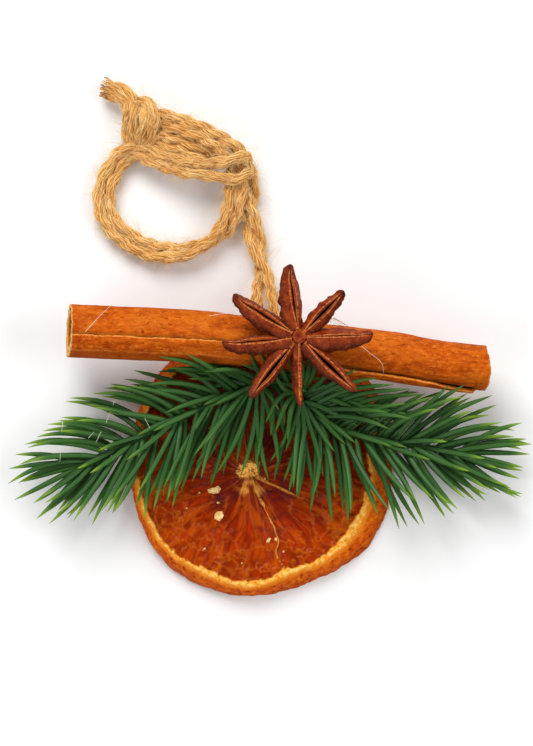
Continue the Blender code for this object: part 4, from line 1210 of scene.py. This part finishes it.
def make_hanger():
    rng = random.Random(12)
    parts = (twisted(STEM_ROUTE), laid(LOWER_BAND), twisted(RING_ROUTE), laid(UPPER_BAND),
             laid(STOPPER), laid(TAIL_ROUTE))
    centre, plies = plies_along(np.vstack(parts), 0)
    _, core_plies = plies_along(laid(KNOT_CORE), 50)
    material = jute_finish()
    body = Body()
    for number, ply in enumerate(plies):
        add_ply(body, number, ply, rng)
    piece = body.build("jute_hanger", material)
    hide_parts("hanger_stem", "hanger_ring", "hanger_knot", "hanger_tail")
    core = Body()
    for number, ply in enumerate(core_plies):
        add_ply(core, number, ply, rng)
    tuck = core.build("jute_knot_core", material)
    fuzz = Body()
    for _ in range(HAIRS):
        add_hair(fuzz, plies[rng.randrange(len(plies))], rng)
    hairs = fuzz.build("jute_fuzz", material)


# ---- glue and crumbs

# Each bead: the points of its middle line with its radius at each point.
# They lie where the pieces meet.
GLUE_BEADS = (
    ((14.8, 32.2, 13.9, 0.35), (15.9, 32.1, 13.2, 0.75), (17.4, 31.5, 12.9, 0.55),
     (19.4, 30.7, 12.8, 0.25)),
    ((1.2, 25.0, 18.3, 0.20), (1.8, 24.7, 18.1, 0.42), (2.5, 24.3, 17.8, 0.20)),
    ((5.2, 22.6, 16.4, 0.20), (5.9, 22.3, 16.0, 0.40), (6.6, 22.2, 15.8, 0.20)),
    ((2.6, 16.0, 12.4, 0.15), (3.0, 15.6, 12.3, 0.32), (3.4, 15.1, 12.1, 0.15)),
    ((7.2, 28.3, 17.7, 1.00), (8.8, 28.4, 17.8, 1.80), (10.6, 28.2, 17.4, 1.00)),
    ((-9.0, 27.6, 6.2, 0.9), (-4.0, 27.8, 6.2, 1.4), (2.0, 28.0, 6.2, 1.2)))
GLUE_STRINGS = (
    ((-37.8, 29.4, 21.3), (-35.0, 32.5, 20.8), (-31.9, 35.6, 18.5)),
    ((-10.8, 32.9, 18.0), (-8.6, 33.3, 17.7), (-6.4, 33.4, 17.2), (-4.2, 33.0, 16.6)),
    ((22.3, 26.4, 18.1), (24.2, 24.8, 18.0), (26.1, 23.4, 17.6), (27.0, 22.1, 17.1),
     (27.2, 20.5, 16.4)),
    ((-42.9, 9.8, 16.5), (-43.1, 7.5, 16.2)), ((-43.4, 4.4, 15.6), (-43.5, 1.1, 15.2)),
    ((-32.7, 11.3, 17.4), (-33.4, 9.5, 17.2)), ((-37.3, 6.2, 16.0), (-36.0, 7.6, 16.4)),
    ((-34.5, 7.6, 16.4), (-35.6, 5.3, 16.0)), ((-31.6, 14.4, 18.4), (-31.8, 13.5, 18.2)),
    ((-24.9, 10.6, 17.2), (-23.8, 8.4, 16.6)), ((-42.6, 14.4, 17.0), (-42.2, 13.6, 16.8)))
BEAD_STATIONS = 14
BEAD_SIDES = 14
STRING_RADIUS = 0.055
STRING_STATIONS = 24
STRING_SIDES = 5
CRUMB_CORNERS = 7
# A crumb's outline from its foot up: its reach as a share, and its height above the face.
CRUMB_PROFILE = ((0.5, -0.10), (0.95, 0.0), (1.0, 0.22), (0.72, 0.42), (0.3, 0.40))
# Each crumb: its place on the slice's face and its width, length and turn.
CRUMBS = (
    (-10.0, -5.4, 2.5, 1.5, 10), (-8.7, -11.1, 1.7, 2.0, 60), (2.1, -16.4, 1.0, 0.8, 30),
    (3.7, -16.3, 0.9, 0.7, 80), (-12.2, -18.5, 0.9, 0.5, 30), (-9.0, -8.2, 0.6, 0.5, 0),
    (16.3, -2.0, 0.5, 0.6, 15), (-3.8, -21.5, 0.5, 0.4, 50), (-13.2, -6.0, 0.5, 0.4, 0),
    (1.3, -2.9, 0.5, 0.3, 70), (-16.0, -9.4, 0.4, 0.3, 20), (5.4, -19.0, 0.4, 0.4, 40))


def make_glue():
    beads = Body()
    for number, bead in enumerate(GLUE_BEADS):
        rows = smooth_route(bead, BEAD_STATIONS)
        place = rows[:, :3] / 1.3 + 7.0 * number
        ends = np.sqrt(np.sin(np.pi * np.linspace(0.04, 0.96, BEAD_STATIONS)))
        radii = rows[:, 3] * ends * (1.0 + 0.25 * noise(place, 701))
        beads.add(tube(rows[:, :3], radii, BEAD_SIDES))
    clear = Finish("hot_glue", Base_Color=(0.93, 0.91, 0.87, 1.0), Roughness=0.12, IOR=1.49,
                   Transmission_Weight=0.9)
    beads.build("glue_beads", clear.material)
    strings = Body()
    for string in GLUE_STRINGS:
        radii = STRING_RADIUS * np.linspace(1.0, 0.5, STRING_STATIONS)
        strings.add(tube(smooth_route(string, STRING_STATIONS), radii, STRING_SIDES))
    pale = Finish("glue_string", Base_Color=(0.92, 0.82, 0.70, 1.0), Roughness=0.35)
    strings.build("glue_strings", pale.material)


def crumb_finish():
    finish = Finish("fruit_crumb", Roughness=0.75, Specular_IOR_Level=0.15)
    finish.set("Base Color", finish.ramp(finish.noise(0.5, 4.0), (0.32, (206, 140, 60)),
                                         (0.52, (250, 212, 140)), (0.70, (255, 236, 180))))
    finish.bump(finish.noise(0.25, 3.0), 0.6, 0.08)
    return finish.material


def make_crumbs(face):
    """Angular flakes that lie on the slice's face."""
    front = face[face[:, 2] > 2.0]
    body = Body()
    theta = TAU * np.arange(CRUMB_CORNERS) / CRUMB_CORNERS
    for number, (x, y, width, length, turn) in enumerate(CRUMBS):
        nearest = np.argmin((front[:, 0] - x) ** 2 + (front[:, 1] - y) ** 2)
        rows = []
        for reach, height in CRUMB_PROFILE:
            place = polar(theta, 1.3, height * 2.0 + 5.0 * number)
            wide = reach * (1.0 + 0.8 * noise(place * 1.7, 731))
            across = 0.5 * width * wide * np.cos(theta)
            along = 0.5 * length * wide * np.sin(theta)
            angle = math.radians(turn)
            rows.append(np.stack([
                x + across * math.cos(angle) - along * math.sin(angle),
                y + across * math.sin(angle) + along * math.cos(angle),
                front[nearest, 2] + height + 0.15 * noise(place + 9.0, 737)], axis=-1))
        body.add(np.stack(rows))
    body.build("crumbs", crumb_finish()).data.shade_flat()


# ---- stage

# The camera looks straight down, and its view is this tall at the ornament's own level.
CAMERA_HEIGHT = 1.2
OBJECT_LEVEL = 0.008
VIEW_TALL = 0.1641
VIEW_CENTRE = (0.00165, 0.02046)
FLOOR_HALF_SIDE = 3.0
WORLD_STRENGTH = 0.30
LIGHT_AIM = Vector((0.0, 0.015, 0.01))
# Each soft light: its name, place, width and power.
LIGHTS = (("key", (-0.20, 0.60, 0.60), 0.5, 5.6), ("right_fill", (0.60, 0.05, 0.55), 0.6, 2.6),
          ("left_fill", (-0.50, -0.35, 0.50), 0.6, 1.7))


def area_light(name, place, size, power):
    data = bpy.data.lights.new(name, "AREA")
    data.shape = "DISK"
    data.size = size
    data.energy = power
    light = bpy.data.objects.new(name, data)
    light.location = place
    light.rotation_euler = (LIGHT_AIM - light.location).to_track_quat("-Z", "Y").to_euler()
    bpy.context.scene.collection.objects.link(light)


def make_stage():
    mesh = bpy.data.meshes.new("floor")
    side = FLOOR_HALF_SIDE
    mesh.from_pydata([(-side, -side, 0), (side, -side, 0), (side, side, 0), (-side, side, 0)], [],
                     [(0, 1, 2, 3)])
    floor = bpy.data.objects.new("floor", mesh)
    finish = Finish("pale_floor", Base_Color=(0.93, 0.93, 0.93, 1.0), Roughness=0.9)
    mesh.materials.append(finish.material)
    bpy.context.scene.collection.objects.link(floor)
    world = bpy.data.worlds.new("studio")
    world.use_nodes = True
    background = world.node_tree.nodes["Background"]
    background.inputs["Color"].default_value = (1.0, 1.0, 1.0, 1.0)
    background.inputs["Strength"].default_value = WORLD_STRENGTH
    bpy.context.scene.world = world
    for light in LIGHTS:
        area_light(*light)


def make_camera():
    data = bpy.data.cameras.new("camera")
    data.lens = data.sensor_width * (CAMERA_HEIGHT - OBJECT_LEVEL) / VIEW_TALL
    data.clip_start = 0.01
    data.clip_end = 20.0
    camera = bpy.data.objects.new("camera", data)
    camera.location = (*VIEW_CENTRE, CAMERA_HEIGHT)
    bpy.context.scene.collection.objects.link(camera)
    bpy.context.scene.camera = camera


bpy.context.scene.view_settings.view_transform = "Standard"
make_camera()
make_stage()
make_hanger()
slice_points = make_orange_slice()
make_cinnamon_stick()
make_star_anise()
make_sprigs()
make_glue()
make_crumbs(slice_points)
bpy.context.view_layer.update()
